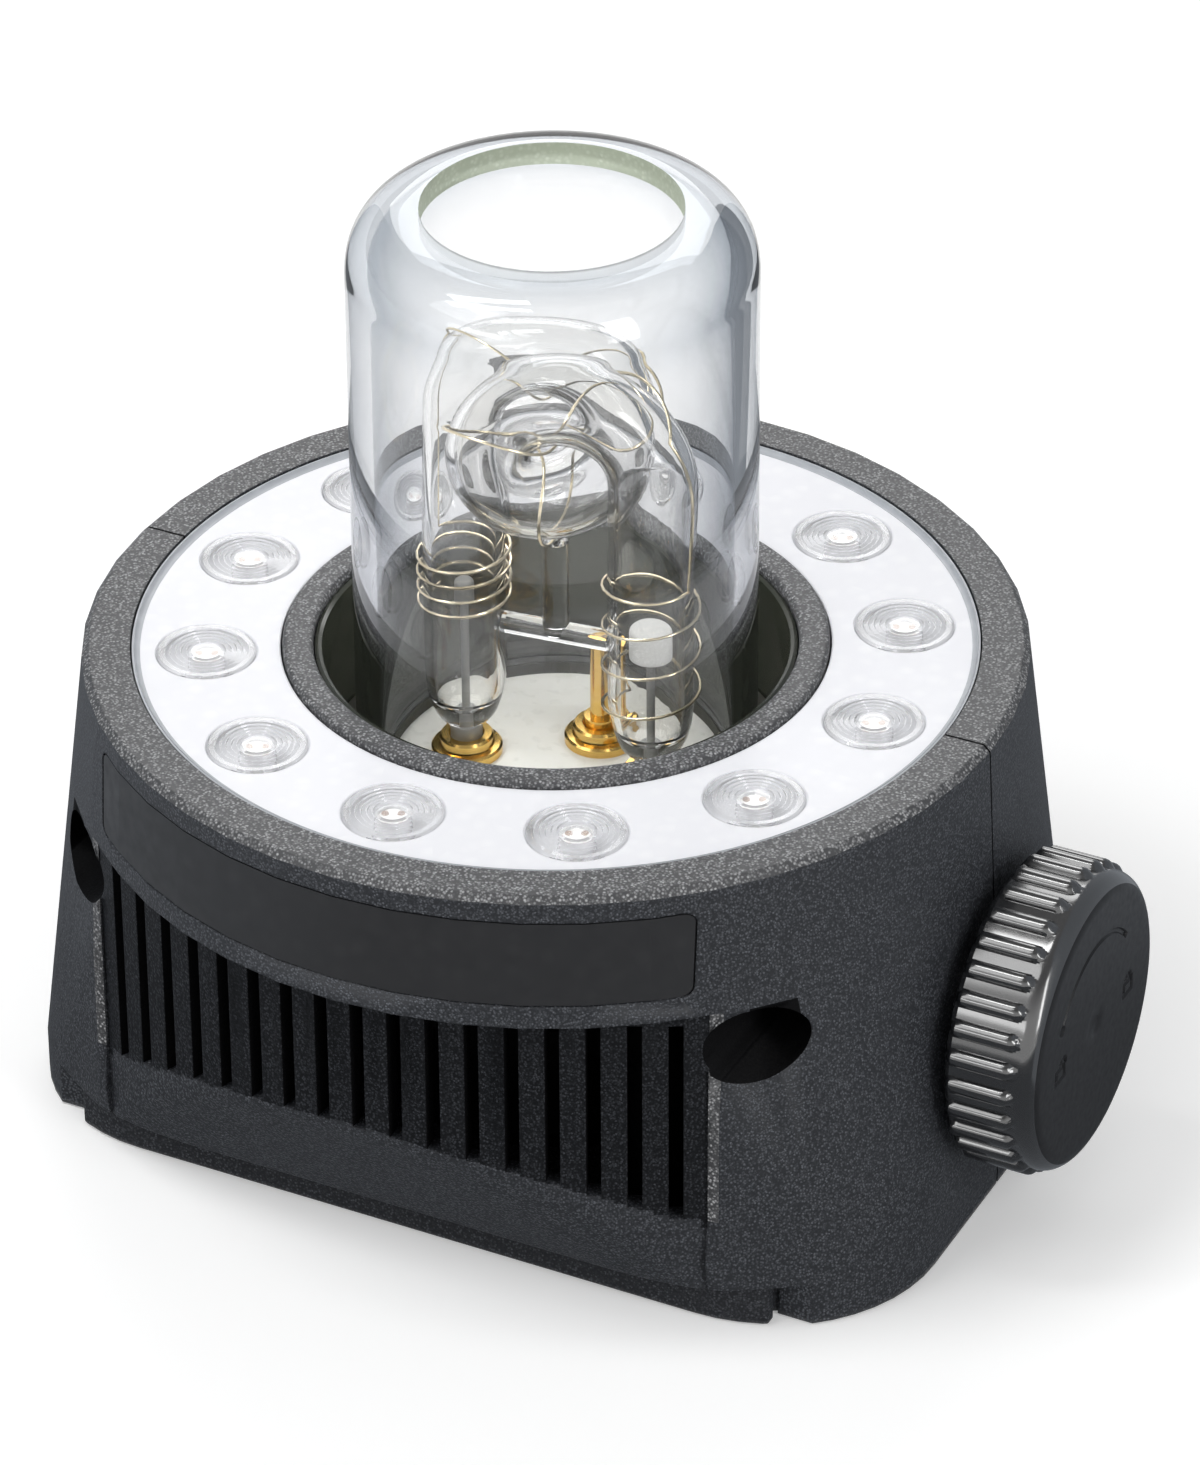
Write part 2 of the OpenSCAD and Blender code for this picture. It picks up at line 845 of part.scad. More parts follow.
function wire_ring(k) =
    let (last = len(wire_points) - 1,
         t = unit(wire_points[min(last, k + 1)] - wire_points[max(0, k - 1)]),
         side = unit(cross(t, abs(t[2]) < 0.8 ? [0, 0, 1] : [0, 1, 0])),
         other = cross(t, side))
    [for (j = [0 : wire_sides - 1])
        wire_points[k] + wire_r * (side * cos(360 * j / wire_sides) + other * sin(360 * j / wire_sides))];

// Least gap of the wire to itself, between points more than half a turn apart
wire_self_gap = min([for (a = [0 : wire_steps]) for (b = [a + wire_rings / 2 + 1 : 1 : wire_steps])
    norm(wire_points[a] - wire_points[b])]) - wire_d;
echo(wire_self_gap = wire_self_gap);

module trigger_wire() {
    color("#c8a24a")
        rotate(tube_turn)
            skin([for (k = [0 : len(wire_points) - 1]) wire_ring(k)]);
}

// Turns its children from the Z axis to the lock axis
module on_lock_axis(x) {
    translate([x, 0, knob_z])
        rotate([0, 90, 0])
            children();
}

module lock_knob() {
    bore_len = knob_len - knob_skin;
    color("#1b1c1e")
        on_lock_axis(knob_in_x)
            difference() {
                union() {
                    rotate_extrude()
                        polygon(concat(
                            [[0, 0], [knob_r - 0.8, 0], [knob_r, 0.8]],
                            arc_points([knob_r - knob_edge, knob_len - knob_edge], knob_edge, 0, 90, 8),
                            [[0, knob_len]]
                        ));
                    for (i = [0 : rib_count - 1])
                        rotate(i * 360 / rib_count)
                            translate([knob_r, 0, 0.8])
                                cylinder(r = rib_r, h = knob_len - 0.8 - knob_edge - 1, $fn = 24);
                }
                translate([0, 0, -1])
                    cylinder(r = shaft_r + run_gap, h = bore_len + 1);
            }
}

module lock_shaft() {
    color("#b9bcc0")
        on_lock_axis(shaft_in_x)
            cylinder(r = shaft_r, h = knob_in_x + knob_len - knob_skin - gap - shaft_in_x);
}

module lock_cam() {
    lobe_r = 4;
    color("#9da1a6")
        on_lock_axis(cam_x)
            difference() {
                union() {
                    cylinder(r = hub_r, h = cam_w);
                    translate([0, -lobe_r, 0])
                        cube([cam_reach - lobe_r, 2 * lobe_r, cam_w]);
                    translate([cam_reach - lobe_r, 0, 0])
                        cylinder(r = lobe_r, h = cam_w);
                }
                translate([0, 0, -1])
                    cylinder(r = shaft_r + run_gap, h = cam_w + 2);
            }
}

module retaining_clip() {
    color("#8f9398")
        on_lock_axis(clip_x)
            difference() {
                cylinder(r = shaft_r + 2, h = clip_t);
                translate([0, 0, -1])
                    cylinder(r = shaft_r + run_gap, h = clip_t + 2);
                translate([-far, -shaft_r / 2, -1])
                    cube([far, shaft_r, clip_t + 2]);
            }
}

module shaft_bush() {
    color("#b08d3c")
        on_lock_axis(bush_in_x)
            difference() {
                cylinder(r = bush_r, h = bush_out_x - bush_in_x);
                translate([0, 0, -1])
                    cylinder(r = shaft_r + run_gap, h = bush_out_x - bush_in_x + 2);
            }
}

module plug_socket() {
    outer = plug_r + plug_wall;
    color("#a7abb0")
        difference() {
            union() {
                cylinder(r = outer, h = plug_depth);
                translate([0, 0, base_t])
                    cylinder(r = outer + plug_flange_w, h = plug_flange_t);
            }
            translate([0, 0, -1])
                cylinder(r = plug_r, h = plug_depth + 2);
        }
}

// Places its children on the circle of the plug contacts
module contact_places() {
    for (i = [0 : contact_count - 1])
        rotate(i * 360 / contact_count + 90)
            translate([contact_circle_r, 0, 0])
                children();
}

module contact_block() {
    color("#2b2b2d")
        translate([0, 0, plug_depth])
            difference() {
                cylinder(r = plug_r + plug_wall, h = contact_block_t);
                contact_places()
                    translate([0, 0, -1])
                        cylinder(r = contact_r + run_gap, h = contact_block_t + 2);
            }
}

module contact_sleeves() {
    block_top = plug_depth + contact_block_t;
    color("#cda648")
        contact_places()
            difference() {
                union() {
                    translate([0, 0, plug_depth])
                        cylinder(r = contact_r, h = contact_block_t + contact_tail);
                    translate([0, 0, block_top])
                        cylinder(r = contact_r + contact_flange_w, h = contact_flange_t);
                }
                translate([0, 0, plug_depth - 1])
                    cylinder(r = contact_r - contact_wall, h = contact_block_t + 1);
            }
}

// Circuit board that fires the tube, on two pillars behind the plug socket
trigger_board_room = 5.5;
pillar_h = 5;
pillar_r = 2;
pillar_inset = 3;
trigger_board_y = plug_r + plug_wall + trigger_board_room;
trigger_board_z = base_t + pillar_h;
trigger_board_w = 36;
trigger_board_d = 9;

module trigger_board() {
    color("#2f6b45") {
        translate([-trigger_board_w / 2, trigger_board_y, trigger_board_z])
            cube([trigger_board_w, trigger_board_d, board_t]);
        for (x = [-trigger_board_w / 2 + pillar_inset, trigger_board_w / 2 - pillar_inset])
            translate([x, trigger_board_y + trigger_board_d / 2, base_t])
                cylinder(r = pillar_r, h = pillar_h + eps);
    }
}

module trigger_transformer() {
    coil_len = 20;
    coil_r = 4;
    foot_h = 1.5;
    color("#7a5a2a")
        translate([-coil_len / 2, trigger_board_y + trigger_board_d / 2, trigger_board_z + board_t]) {
            translate([0, 0, foot_h + coil_r])
                rotate([0, 90, 0])
                    cylinder(r = coil_r, h = coil_len);
            for (x = [0, coil_len - 2])
                translate([x, -coil_r, 0])
                    cube([2, 2 * coil_r, foot_h + coil_r]);
        }
}

// Socket-head screw along +Z, head below the origin plane
module screw(shank, length, head, head_height) {
    difference() {
        union() {
            cylinder(r = shank, h = length);
            translate([0, 0, -head_height])
                cylinder(r = head, h = head_height);
        }
        translate([0, 0, -head_height - 1])
            cylinder(r = head * 0.5, h = head_height * 0.5 + 1, $fn = 6);
    }
}

module shell_screws() {
    color("#9a9da1")
        for (x = [-well_x, well_x])
            translate([x, -well_seat_y, well_z])
                rotate([-90, 0, 0])
                    screw(shank_r, well_seat_y + screw_reach, head_r, head_h);
}

module base_screws() {
    color("#9a9da1")
        for (x = [-foot_boss_x, foot_boss_x], y = [-foot_boss_y, foot_boss_y])
            translate([x, y, foot_head_h + gap])
                screw(foot_screw_r, base_t + foot_screw_len - foot_head_h - foot_screw_short, foot_head_r, foot_head_h);
}

front_shell();
rear_shell();
base_plate();
label_plate();
chassis();
led_board();
led_chips();
led_cover_ring();
led_lenses();
well_collar();
well_liner();
tube_floor();
tube_sockets();
dome_seal();
glass_dome();
flash_tube();
electrodes();
tube_bridge();
trigger_pin();
trigger_wire();
lock_knob();
lock_shaft();
lock_cam();
retaining_clip();
shaft_bush();
plug_socket();
contact_block();
contact_sleeves();
trigger_board();
trigger_transformer();
shell_screws();
base_screws();
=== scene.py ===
# Studio flash head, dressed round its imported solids. All sizes are in metres, in the frame of the solids:
# +Z up along the well, +X towards the lock knob, -Y towards the grille.
import math

import bmesh
import bpy
from mathutils import Matrix, Vector


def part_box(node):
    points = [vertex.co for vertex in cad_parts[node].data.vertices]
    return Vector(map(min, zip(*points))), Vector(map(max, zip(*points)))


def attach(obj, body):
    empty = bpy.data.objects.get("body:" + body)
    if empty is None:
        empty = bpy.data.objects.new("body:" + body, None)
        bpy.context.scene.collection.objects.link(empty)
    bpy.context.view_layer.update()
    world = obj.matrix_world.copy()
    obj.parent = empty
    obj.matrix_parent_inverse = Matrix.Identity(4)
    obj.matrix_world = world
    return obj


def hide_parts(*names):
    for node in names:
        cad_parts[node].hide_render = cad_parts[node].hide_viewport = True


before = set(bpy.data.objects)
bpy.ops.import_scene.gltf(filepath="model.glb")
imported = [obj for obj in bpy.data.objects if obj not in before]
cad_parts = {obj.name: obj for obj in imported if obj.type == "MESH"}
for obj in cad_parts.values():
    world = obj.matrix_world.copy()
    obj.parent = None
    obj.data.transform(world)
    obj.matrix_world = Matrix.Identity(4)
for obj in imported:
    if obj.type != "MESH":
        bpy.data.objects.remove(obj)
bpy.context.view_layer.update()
mm = 0.001


# Base plate: black moulded plastic that closes the casing from below.
# The mould leaves a fine grain, which every plastic piece of the head shares.
def surface_group(name, inputs):
    group = bpy.data.node_groups.new(name, "ShaderNodeTree")
    for socket, kind, value in inputs:
        made = group.interface.new_socket(name=socket, in_out="INPUT", socket_type=kind)
        made.default_value = value
    outputs = {"Colour": "NodeSocketColor", "Roughness": "NodeSocketFloat", "Height": "NodeSocketFloat"}
    for socket, kind in outputs.items():
        group.interface.new_socket(name=socket, in_out="OUTPUT", socket_type=kind)
    return group, group.nodes.new("NodeGroupInput"), group.nodes.new("NodeGroupOutput")


# The three shader steps that most materials share. Each makes one node and gives its output.
def ranged(tree, value, low, high, to_low=0.0, to_high=1.0, smooth=False):
    made = tree.nodes.new("ShaderNodeMapRange")
    if smooth:
        made.interpolation_type = "SMOOTHSTEP"
    made.inputs["From Min"].default_value = low
    made.inputs["From Max"].default_value = high
    made.inputs["To Min"].default_value = to_low
    made.inputs["To Max"].default_value = to_high
    tree.links.new(value, made.inputs["Value"])
    return made.outputs["Result"]


def combined(tree, operation, first, second):
    made = tree.nodes.new("ShaderNodeMath")
    made.operation = operation
    tree.links.new(first, made.inputs[0])
    tree.links.new(second, made.inputs[1])
    return made.outputs[0]


def blended(tree, factor, first, second):
    made = tree.nodes.new("ShaderNodeMix")
    made.data_type = "RGBA"
    tree.links.new(factor, made.inputs["Factor"])
    for socket, tone in (("A", first), ("B", second)):
        if isinstance(tone, tuple):
            made.inputs[socket].default_value = tone
        else:
            tree.links.new(tone, made.inputs[socket])
    return made.outputs["Result"]


def moulded_grain():
    group, given, out = surface_group("moulded grain", (
        ("Colour", "NodeSocketColor", (0.02, 0.02, 0.02, 1)),
        ("Spark Colour", "NodeSocketColor", (0.05, 0.05, 0.05, 1)),
        ("Roughness", "NodeSocketFloat", 0.5),
        ("Grain Scale", "NodeSocketFloat", 2000.0),
    ))
    nodes, links = group.nodes, group.links
    place = nodes.new("ShaderNodeTexCoord")
    pebbles = nodes.new("ShaderNodeTexVoronoi")
    links.new(place.outputs["Object"], pebbles.inputs["Vector"])
    links.new(given.outputs["Grain Scale"], pebbles.inputs["Scale"])
    cloud = nodes.new("ShaderNodeTexNoise")
    cloud.inputs["Detail"].default_value = 3.0
    links.new(place.outputs["Object"], cloud.inputs["Vector"])
    links.new(given.outputs["Grain Scale"], cloud.inputs["Scale"])
    bead = ranged(group, pebbles.outputs["Distance"], 0.15, 0.65, 1.0, 0.0)
    luck = ranged(group, pebbles.outputs["Color"], 0.15, 0.85)
    height = combined(group, "MULTIPLY", bead, luck)
    tone = blended(group, height, given.outputs["Colour"], given.outputs["Spark Colour"])
    links.new(tone, out.inputs["Colour"])
    dull = ranged(group, cloud.outputs["Fac"], 0.3, 0.7, 0.85, 1.15)
    rough = combined(group, "MULTIPLY", given.outputs["Roughness"], dull)
    links.new(rough, out.inputs["Roughness"])
    links.new(height, out.inputs["Height"])
    return group


grain = moulded_grain()
bump_depth = 0.0001


def finish_material(name, group, values, bump=0.0, edge=0.0, **plain):
    made = bpy.data.materials.new(name)
    made.use_nodes = True
    nodes, links = made.node_tree.nodes, made.node_tree.links
    shader = nodes["Principled BSDF"]
    surface = nodes.new("ShaderNodeGroup")
    surface.node_tree = group
    for socket, value in values.items():
        surface.inputs[socket].default_value = value
    links.new(surface.outputs["Colour"], shader.inputs["Base Color"])
    links.new(surface.outputs["Roughness"], shader.inputs["Roughness"])
    if bump:
        relief = nodes.new("ShaderNodeBump")
        relief.inputs["Strength"].default_value = bump
        relief.inputs["Distance"].default_value = bump_depth
        links.new(surface.outputs["Height"], relief.inputs["Height"])
        links.new(relief.outputs["Normal"], shader.inputs["Normal"])
        if edge:
            rounded = nodes.new("ShaderNodeBevel")
            rounded.inputs["Radius"].default_value = edge
            links.new(rounded.outputs["Normal"], relief.inputs["Normal"])
    for socket, value in plain.items():
        shader.inputs[socket.replace("_", " ")].default_value = value
    return made


def dress(node, material):
    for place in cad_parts[node].material_slots:
        place.material = material


def pick(pieces):
    bpy.ops.object.select_all(action="DESELECT")
    for piece in pieces:
        piece.select_set(True)
    bpy.context.view_layer.objects.active = pieces[0]


def joined(pieces):
    pick(pieces)
    bpy.ops.object.join()


def shade(piece, angle=30):
    pick([piece])
    bpy.ops.object.shade_smooth_by_angle(angle=math.radians(angle))


weld_gap = 0.000002
flat_angle = math.radians(0.6)
sharp_angle = math.radians(38)
edge_room = 2.2
smooth_angle = 26


# A dressed copy of a moulded solid: its loose triangles are joined, and its edges get the small
# round that the mould gives them, less where short edges leave no room for it.
def moulded_copy(node, body, material, edge, trim=None):
    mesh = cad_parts[node].data.copy()
    piece = bpy.data.objects.new(node + "_moulding", mesh)
    bpy.context.scene.collection.objects.link(piece)
    shape = bmesh.new()
    shape.from_mesh(mesh)
    bmesh.ops.remove_doubles(shape, verts=shape.verts, dist=weld_gap)
    bmesh.ops.dissolve_limit(shape, angle_limit=flat_angle, verts=shape.verts, edges=shape.edges)
    if trim:
        trim(shape)
    if edge:
        weight = shape.edges.layers.float.new("bevel_weight_edge")
        inner_sides = [side for side in shape.edges if len(side.link_faces) == 2]
        for side in [side for side in inner_sides if side.calc_face_angle() > sharp_angle]:
            room = min(near.calc_length() for corner in side.verts for near in corner.link_edges)
            side[weight] = min(1.0, room / (edge_room * edge))
    shape.to_mesh(mesh)
    shape.free()
    pick([piece])
    if edge:
        round_edge = piece.modifiers.new("round edge", "BEVEL")
        round_edge.width = edge
        round_edge.segments = 2
        round_edge.limit_method = "WEIGHT"
        round_edge.use_clamp_overlap = False
        bpy.ops.object.modifier_apply(modifier="round edge")
    shade(piece, smooth_angle)
    even = piece.modifiers.new("even shading", "WEIGHTED_NORMAL")
    even.keep_sharp = True
    bpy.ops.object.modifier_apply(modifier="even shading")
    piece.data.materials.clear()
    piece.data.materials.append(material)
    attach(piece, body)
    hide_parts(node)
    return piece


base_black = finish_material("base black", grain, {
    "Colour": (0.02, 0.0213, 0.0245, 1), "Spark Colour": (0.095, 0.1, 0.113, 1),
    "Roughness": 0.5, "Grain Scale": 3400.0}, bump=0.8, Specular_IOR_Level=0.3)
moulded_copy("base_plate", "housing", base_black, 0.25 * mm)

# Inner mouldings that hardly show: the chassis and the contact block, plain dark plastic.
inner_grey = finish_material("inner grey", grain, {
    "Colour": (0.006, 0.006, 0.0065, 1), "Spark Colour": (0.01, 0.01, 0.011, 1),
    "Roughness": 0.6, "Grain Scale": 1200.0}, bump=0.2, Specular_IOR_Level=0.2)
dress("chassis", inner_grey)
dress("contact_block", inner_grey)


# Turned metal: the plug socket, sleeves, shaft, cam, clip, bush and screws. The lathe or the die
# leaves fine streaks that vary the shine.
def turned_metal():
    group, given, out = surface_group("turned metal", (
        ("Colour", "NodeSocketColor", (0.6, 0.6, 0.6, 1)),
        ("Dull Colour", "NodeSocketColor", (0.4, 0.4, 0.4, 1)),
        ("Roughness", "NodeSocketFloat", 0.3),
        ("Streak Scale", "NodeSocketFloat", 900.0),
    ))
    nodes, links = group.nodes, group.links
    place = nodes.new("ShaderNodeTexCoord")
    stretch = nodes.new("ShaderNodeMapping")
    stretch.inputs["Scale"].default_value = (0.25, 0.25, 2.0)
    links.new(place.outputs["Object"], stretch.inputs["Vector"])
    streak = nodes.new("ShaderNodeTexNoise")
    streak.inputs["Detail"].default_value = 4.0
    links.new(stretch.outputs["Vector"], streak.inputs["Vector"])
    links.new(given.outputs["Streak Scale"], streak.inputs["Scale"])
    tone = blended(group, streak.outputs["Fac"], given.outputs["Colour"], given.outputs["Dull Colour"])
    links.new(tone, out.inputs["Colour"])
    spread = ranged(group, streak.outputs["Fac"], 0.0, 1.0, 0.7, 1.3)
    rough = combined(group, "MULTIPLY", given.outputs["Roughness"], spread)
    links.new(rough, out.inputs["Roughness"])
    links.new(streak.outputs["Fac"], out.inputs["Height"])
    return group


streaks = turned_metal()
socket_metal = finish_material("socket metal", streaks, {
    "Colour": (0.06, 0.061, 0.064, 1), "Dull Colour": (0.04, 0.041, 0.043, 1),
    "Roughness": 0.4}, Metallic=1.0)
steel = finish_material("plated steel", streaks, {
    "Colour": (0.6, 0.61, 0.63, 1), "Dull Colour": (0.45, 0.46, 0.48, 1),
    "Roughness": 0.3}, Metallic=1.0)
gold = finish_material("gold plate", streaks, {
    "Colour": (0.9, 0.62, 0.2, 1), "Dull Colour": (0.72, 0.44, 0.12, 1),
    "Roughness": 0.18}, Metallic=1.0)
bush_brass = finish_material("bush brass", streaks, {
    "Colour": (0.7, 0.55, 0.25, 1), "Dull Colour": (0.55, 0.4, 0.16, 1),
    "Roughness": 0.3}, Metallic=1.0)
dress("plug_socket", socket_metal)
dress("contact_sleeves", gold)
dress("shell_screws", steel)
dress("base_screws", steel)
dress("lock_shaft", steel)
dress("lock_cam", steel)
dress("retaining_clip", steel)
dress("shaft_bush", bush_brass)

# Trigger board and its transformer: a green board on two pillars, with a varnished copper winding.
board_green = finish_material("board green", grain, {
    "Colour": (0.02, 0.12, 0.05, 1), "Spark Colour": (0.03, 0.16, 0.07, 1),
    "Roughness": 0.35, "Grain Scale": 700.0})
winding = finish_material("copper winding", streaks, {
    "Colour": (0.42, 0.2, 0.06, 1), "Dull Colour": (0.25, 0.11, 0.03, 1), "Roughness": 0.35,
    "Streak Scale": 2500.0}, Coat_Weight=0.5)
dress("trigger_board", board_green)
dress("trigger_transformer", winding)

# Casing shells: two halves of near-black plastic with a sandy spark grain, screwed together. A fine
# groove shows where they meet, the bars of the grille carry painted shade, and its ends are chamfered.
casing_black = finish_material("casing black", grain, {
    "Colour": (0.024, 0.0258, 0.03, 1), "Spark Colour": (0.125, 0.134, 0.152, 1),
    "Roughness": 0.46, "Grain Scale": 3400.0}, bump=0.9, edge=0.35 * mm, Specular_IOR_Level=0.35)
# Painted light: the casing plastic in a lighter grey with brighter specks, for faces that catch the light:
# the shells' tops, the grille's chamfered ends and the well's collar.
painted_lit_grey = finish_material("painted lit grey", grain, {
    "Colour": (0.055, 0.056, 0.059, 1), "Spark Colour": (0.5, 0.505, 0.515, 1),
    "Roughness": 0.46, "Grain Scale": 3000.0}, bump=0.9, edge=0.35 * mm, Specular_IOR_Level=0.45)
seam_half = 0.16 * mm
seam_depth = 0.25 * mm
grille_half = 39.5 * mm
grille_face_r = 78 * mm
grille_axis_y = 27 * mm
grille_end_y = grille_axis_y - math.sqrt(grille_face_r ** 2 - grille_half ** 2)
slot_pitch = 4.7 * mm
slot_last = 8
slot_low_mid = 22.5 * mm
slot_drop = 7 * mm
slot_low = slot_low_mid - slot_drop
slot_top = 43 * mm
ledge_z = 44 * mm
rim_z = 60 * mm
end_w = 1.3 * mm
end_depth = 0.9 * mm
front_y = -20 * mm
cut_gap = 0.000001
hair = 0.01 * mm


# Gives the height of the slots' lower ends at a place on the grille face.
def bar_foot(place):
    turn = math.atan2(place.x, grille_axis_y - place.y)
    return slot_low_mid - slot_drop * (turn * grille_face_r / slot_pitch / slot_last) ** 2


# Tells whether a place lies on the curved grille face.
def on_grille(place):
    off = abs(math.hypot(place.x, place.y - grille_axis_y) - grille_face_r)
    return off < 0.3 * mm and place.y < front_y and abs(place.x) < grille_half and place.z < ledge_z


# Trims a shell: a fine groove where the halves meet, a chamfer at both ends of the grille, and a cut
# at the foot of each bar, so that the bars can take their painted shade.
def trim_shell(shape):
    along_x, along_y, along_z = (1, 0, 0), (0, 1, 0), (0, 0, 1)
    cuts = [((0, -seam_half, 0), along_y), ((0, seam_half, 0), along_y), ((0, 0, slot_low), along_z),
            ((0, 0, ledge_z), along_z), ((-grille_half - end_w, 0, 0), along_x),
            ((grille_half + end_w, 0, 0), along_x)]
    for place, across in cuts:
        everything = shape.verts[:] + shape.edges[:] + shape.faces[:]
        bmesh.ops.bisect_plane(shape, geom=everything, dist=cut_gap, plane_co=place, plane_no=across)
    for face in [face for face in shape.faces if on_grille(face.calc_center_median())]:
        foot = bar_foot(face.calc_center_median())
        heights = [corner.co.z for corner in face.verts]
        if max(heights) > foot + 1 * mm and min(heights) < foot - 0.2 * mm:
            strip = face.verts[:] + face.edges[:] + [face]
            bmesh.ops.bisect_plane(shape, geom=strip, dist=cut_gap, plane_co=(0, 0, foot), plane_no=along_z)
    bmesh.ops.dissolve_degenerate(shape, dist=cut_gap, edges=shape.edges)
    shape.normal_update()
    moves = {}
    for side in shape.edges:
        at_end = all(abs(abs(corner.co.x) - grille_half) < 5 * hair and corner.co.y < grille_end_y
                     and slot_low - hair < corner.co.z < ledge_z + hair for corner in side.verts)
        if at_end and side.is_convex and side.calc_face_angle(0) > math.radians(30):
            for corner in side.verts:
                room = grille_end_y - corner.co.y
                moves[corner] = Vector((0, min(end_depth, 0.6 * room), 0))
    for corner in shape.verts:
        skin = [face.normal for face in corner.link_faces if abs(face.normal.y) < 0.7]
        if abs(corner.co.y) > hair or not skin:
            continue
        out = sum(skin, Vector()).normalized()
        on_side = out.x * corner.co.x > 0.3 * abs(corner.co.x)
        on_top = out.z > 0.6 and corner.co.z > rim_z
        if on_side or on_top:
            moves[corner] = -seam_depth * out
    for corner, move in moves.items():
        corner.co += move


front = moulded_copy("front_shell", "housing", casing_black, 0, trim_shell)
rear = moulded_copy("rear_shell", "housing", casing_black, 0, trim_shell)
# Painted shade: near-black for the slot walls and the screw-well bores, which lie in shade. The same
# near-black also marks the dark joint in the groove where the halves meet.
slot_shade_and_seam_dark = finish_material("slot shade and seam dark", grain, {
    "Colour": (0.003, 0.003, 0.0035, 1), "Spark Colour": (0.005, 0.005, 0.006, 1),
    "Roughness": 0.7, "Grain Scale": 3400.0}, bump=0.4, Specular_IOR_Level=0.1)
# Painted shade: the grille's bars in a darker tone, for the shade in the recess under the ledge.
bar_shade_black = finish_material("bar shade black", grain, {
    "Colour": (0.006, 0.0066, 0.008, 1), "Spark Colour": (0.05, 0.054, 0.063, 1),
    "Roughness": 0.46, "Grain Scale": 3400.0}, bump=0.9, edge=0.35 * mm, Specular_IOR_Level=0.22)
screw_low, screw_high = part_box("shell_screws")
well_x = 43.5 * mm
well_z = (screw_low.z + screw_high.z) / 2
well_r = 4.77 * mm
# Each face of the shells is sorted: painted shade in the slots, screw wells and bars, painted light on the
# tops and the grille's ends, and the dark joint in the seam groove.
lit_index, shade_and_seam_index, bar_shade_index = 1, 2, 3
for shell in (front, rear):
    shell.data.materials.append(painted_lit_grey)
    shell.data.materials.append(slot_shade_and_seam_dark)
    shell.data.materials.append(bar_shade_black)
    for face in shell.data.polygons:
        centre, normal = face.center, face.normal
        facing = normal.dot(Vector((centre.x, centre.y, 0)).normalized())
        past_end = abs(centre.x) - grille_half
        on_rim = normal.z > 0.6 and centre.z > rim_z
        in_grille = past_end < -0.5 * mm and centre.y < front_y and centre.z < slot_top
        in_slot = in_grille and abs(facing) < 0.25 and abs(normal.z) < 0.3
        in_well = math.hypot(abs(centre.x) - well_x, centre.z - well_z) < well_r
        by_grille = slot_low < centre.z < ledge_z and centre.y < front_y
        at_end = by_grille and 0 < past_end < end_w and facing > 0.4
        on_bar = on_grille(centre) and centre.z > bar_foot(centre)
        on_seam = abs(centre.y) < seam_half
        if on_seam or in_slot or in_well:
            face.material_index = shade_and_seam_index
        elif on_rim or at_end:
            face.material_index = lit_index
        elif on_bar:
            face.material_index = bar_shade_index

# Label place: a thin satin plate in a shallow pocket over the grille, bare.
label_satin = finish_material("label satin", grain, {
    "Colour": (0.025, 0.0255, 0.0275, 1), "Spark Colour": (0.03, 0.0305, 0.0325, 1),
    "Roughness": 0.42, "Grain Scale": 500.0}, Specular_IOR_Level=0.35)
moulded_copy("label_plate", "housing", label_satin, 0)


# Lamp ring: a white board with twelve white lamps that carry two amber dies each, a white cover
# with round windows, and clear lenses with fine steps that snap in from behind.
merge_gap = 0.000001


def turned(name, profile, steps):
    bpy.ops.object.select_all(action="DESELECT")
    bpy.ops.mesh.primitive_plane_add(size=0.001, location=(0, 0, 0))
    piece = bpy.context.object
    piece.name = name
    bpy.ops.object.mode_set(mode="EDIT")
    bpy.ops.mesh.select_all(action="SELECT")
    bpy.ops.mesh.merge(type="CENTER")
    bpy.ops.transform.translate(value=(profile[0][0], 0, profile[0][1]))
    for (r, z), (next_r, next_z) in zip(profile, profile[1:]):
        bpy.ops.mesh.extrude_region_move(TRANSFORM_OT_translate={"value": (next_r - r, 0, next_z - z)})
    bpy.ops.mesh.select_all(action="SELECT")
    bpy.ops.mesh.spin(steps=steps, angle=2 * math.pi, center=(0, 0, 0), axis=(0, 0, 1))
    bpy.ops.mesh.select_all(action="SELECT")
    bpy.ops.mesh.remove_doubles(threshold=merge_gap)
    bpy.ops.mesh.normals_make_consistent(inside=False)
    bpy.ops.object.mode_set(mode="OBJECT")
    return piece


def arc(centre_r, centre_z, radius, start, end, steps):
    turns = [math.radians(start + (end - start) * i / steps) for i in range(steps + 1)]
    return [(centre_r + radius * math.cos(a), centre_z + radius * math.sin(a)) for a in turns]


def settle(piece, material, body, node, angle=30):
    shade(piece, angle)
    piece.data.materials.clear()
    piece.data.materials.append(material)
    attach(piece, body)
    if node:
        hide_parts(node)


def round_the_ring(piece, count):
    copies = [piece]
    for i in range(1, count):
        copy = bpy.data.objects.new(piece.name, piece.data.copy())
        bpy.context.scene.collection.objects.link(copy)
        copy.data.transform(Matrix.Rotation(2 * math.pi * i / count, 4, "Z"))
        copies.append(copy)
    joined(copies)


board_white = finish_material("board white", grain, {
    "Colour": (0.75, 0.77, 0.76, 1), "Spark Colour": (0.8, 0.82, 0.81, 1),
    "Roughness": 0.4, "Grain Scale": 900.0})
dress("led_board", board_white)
lamp_white = finish_material("lamp white", grain, {
    "Colour": (0.74, 0.735, 0.71, 1), "Spark Colour": (0.8, 0.795, 0.77, 1),
    "Roughness": 0.4, "Grain Scale": 3000.0})
lamp_amber = finish_material("lamp amber", grain, {
    "Colour": (0.16, 0.06, 0.012, 1), "Spark Colour": (0.3, 0.14, 0.03, 1),
    "Roughness": 0.3, "Grain Scale": 3000.0})
lamp_low, lamp_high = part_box("led_chips")
lamp_count = 12
ring_r = 41 * mm
seat_r = 2.3 * mm
post_r = 1.75 * mm
post_top = 59.1 * mm
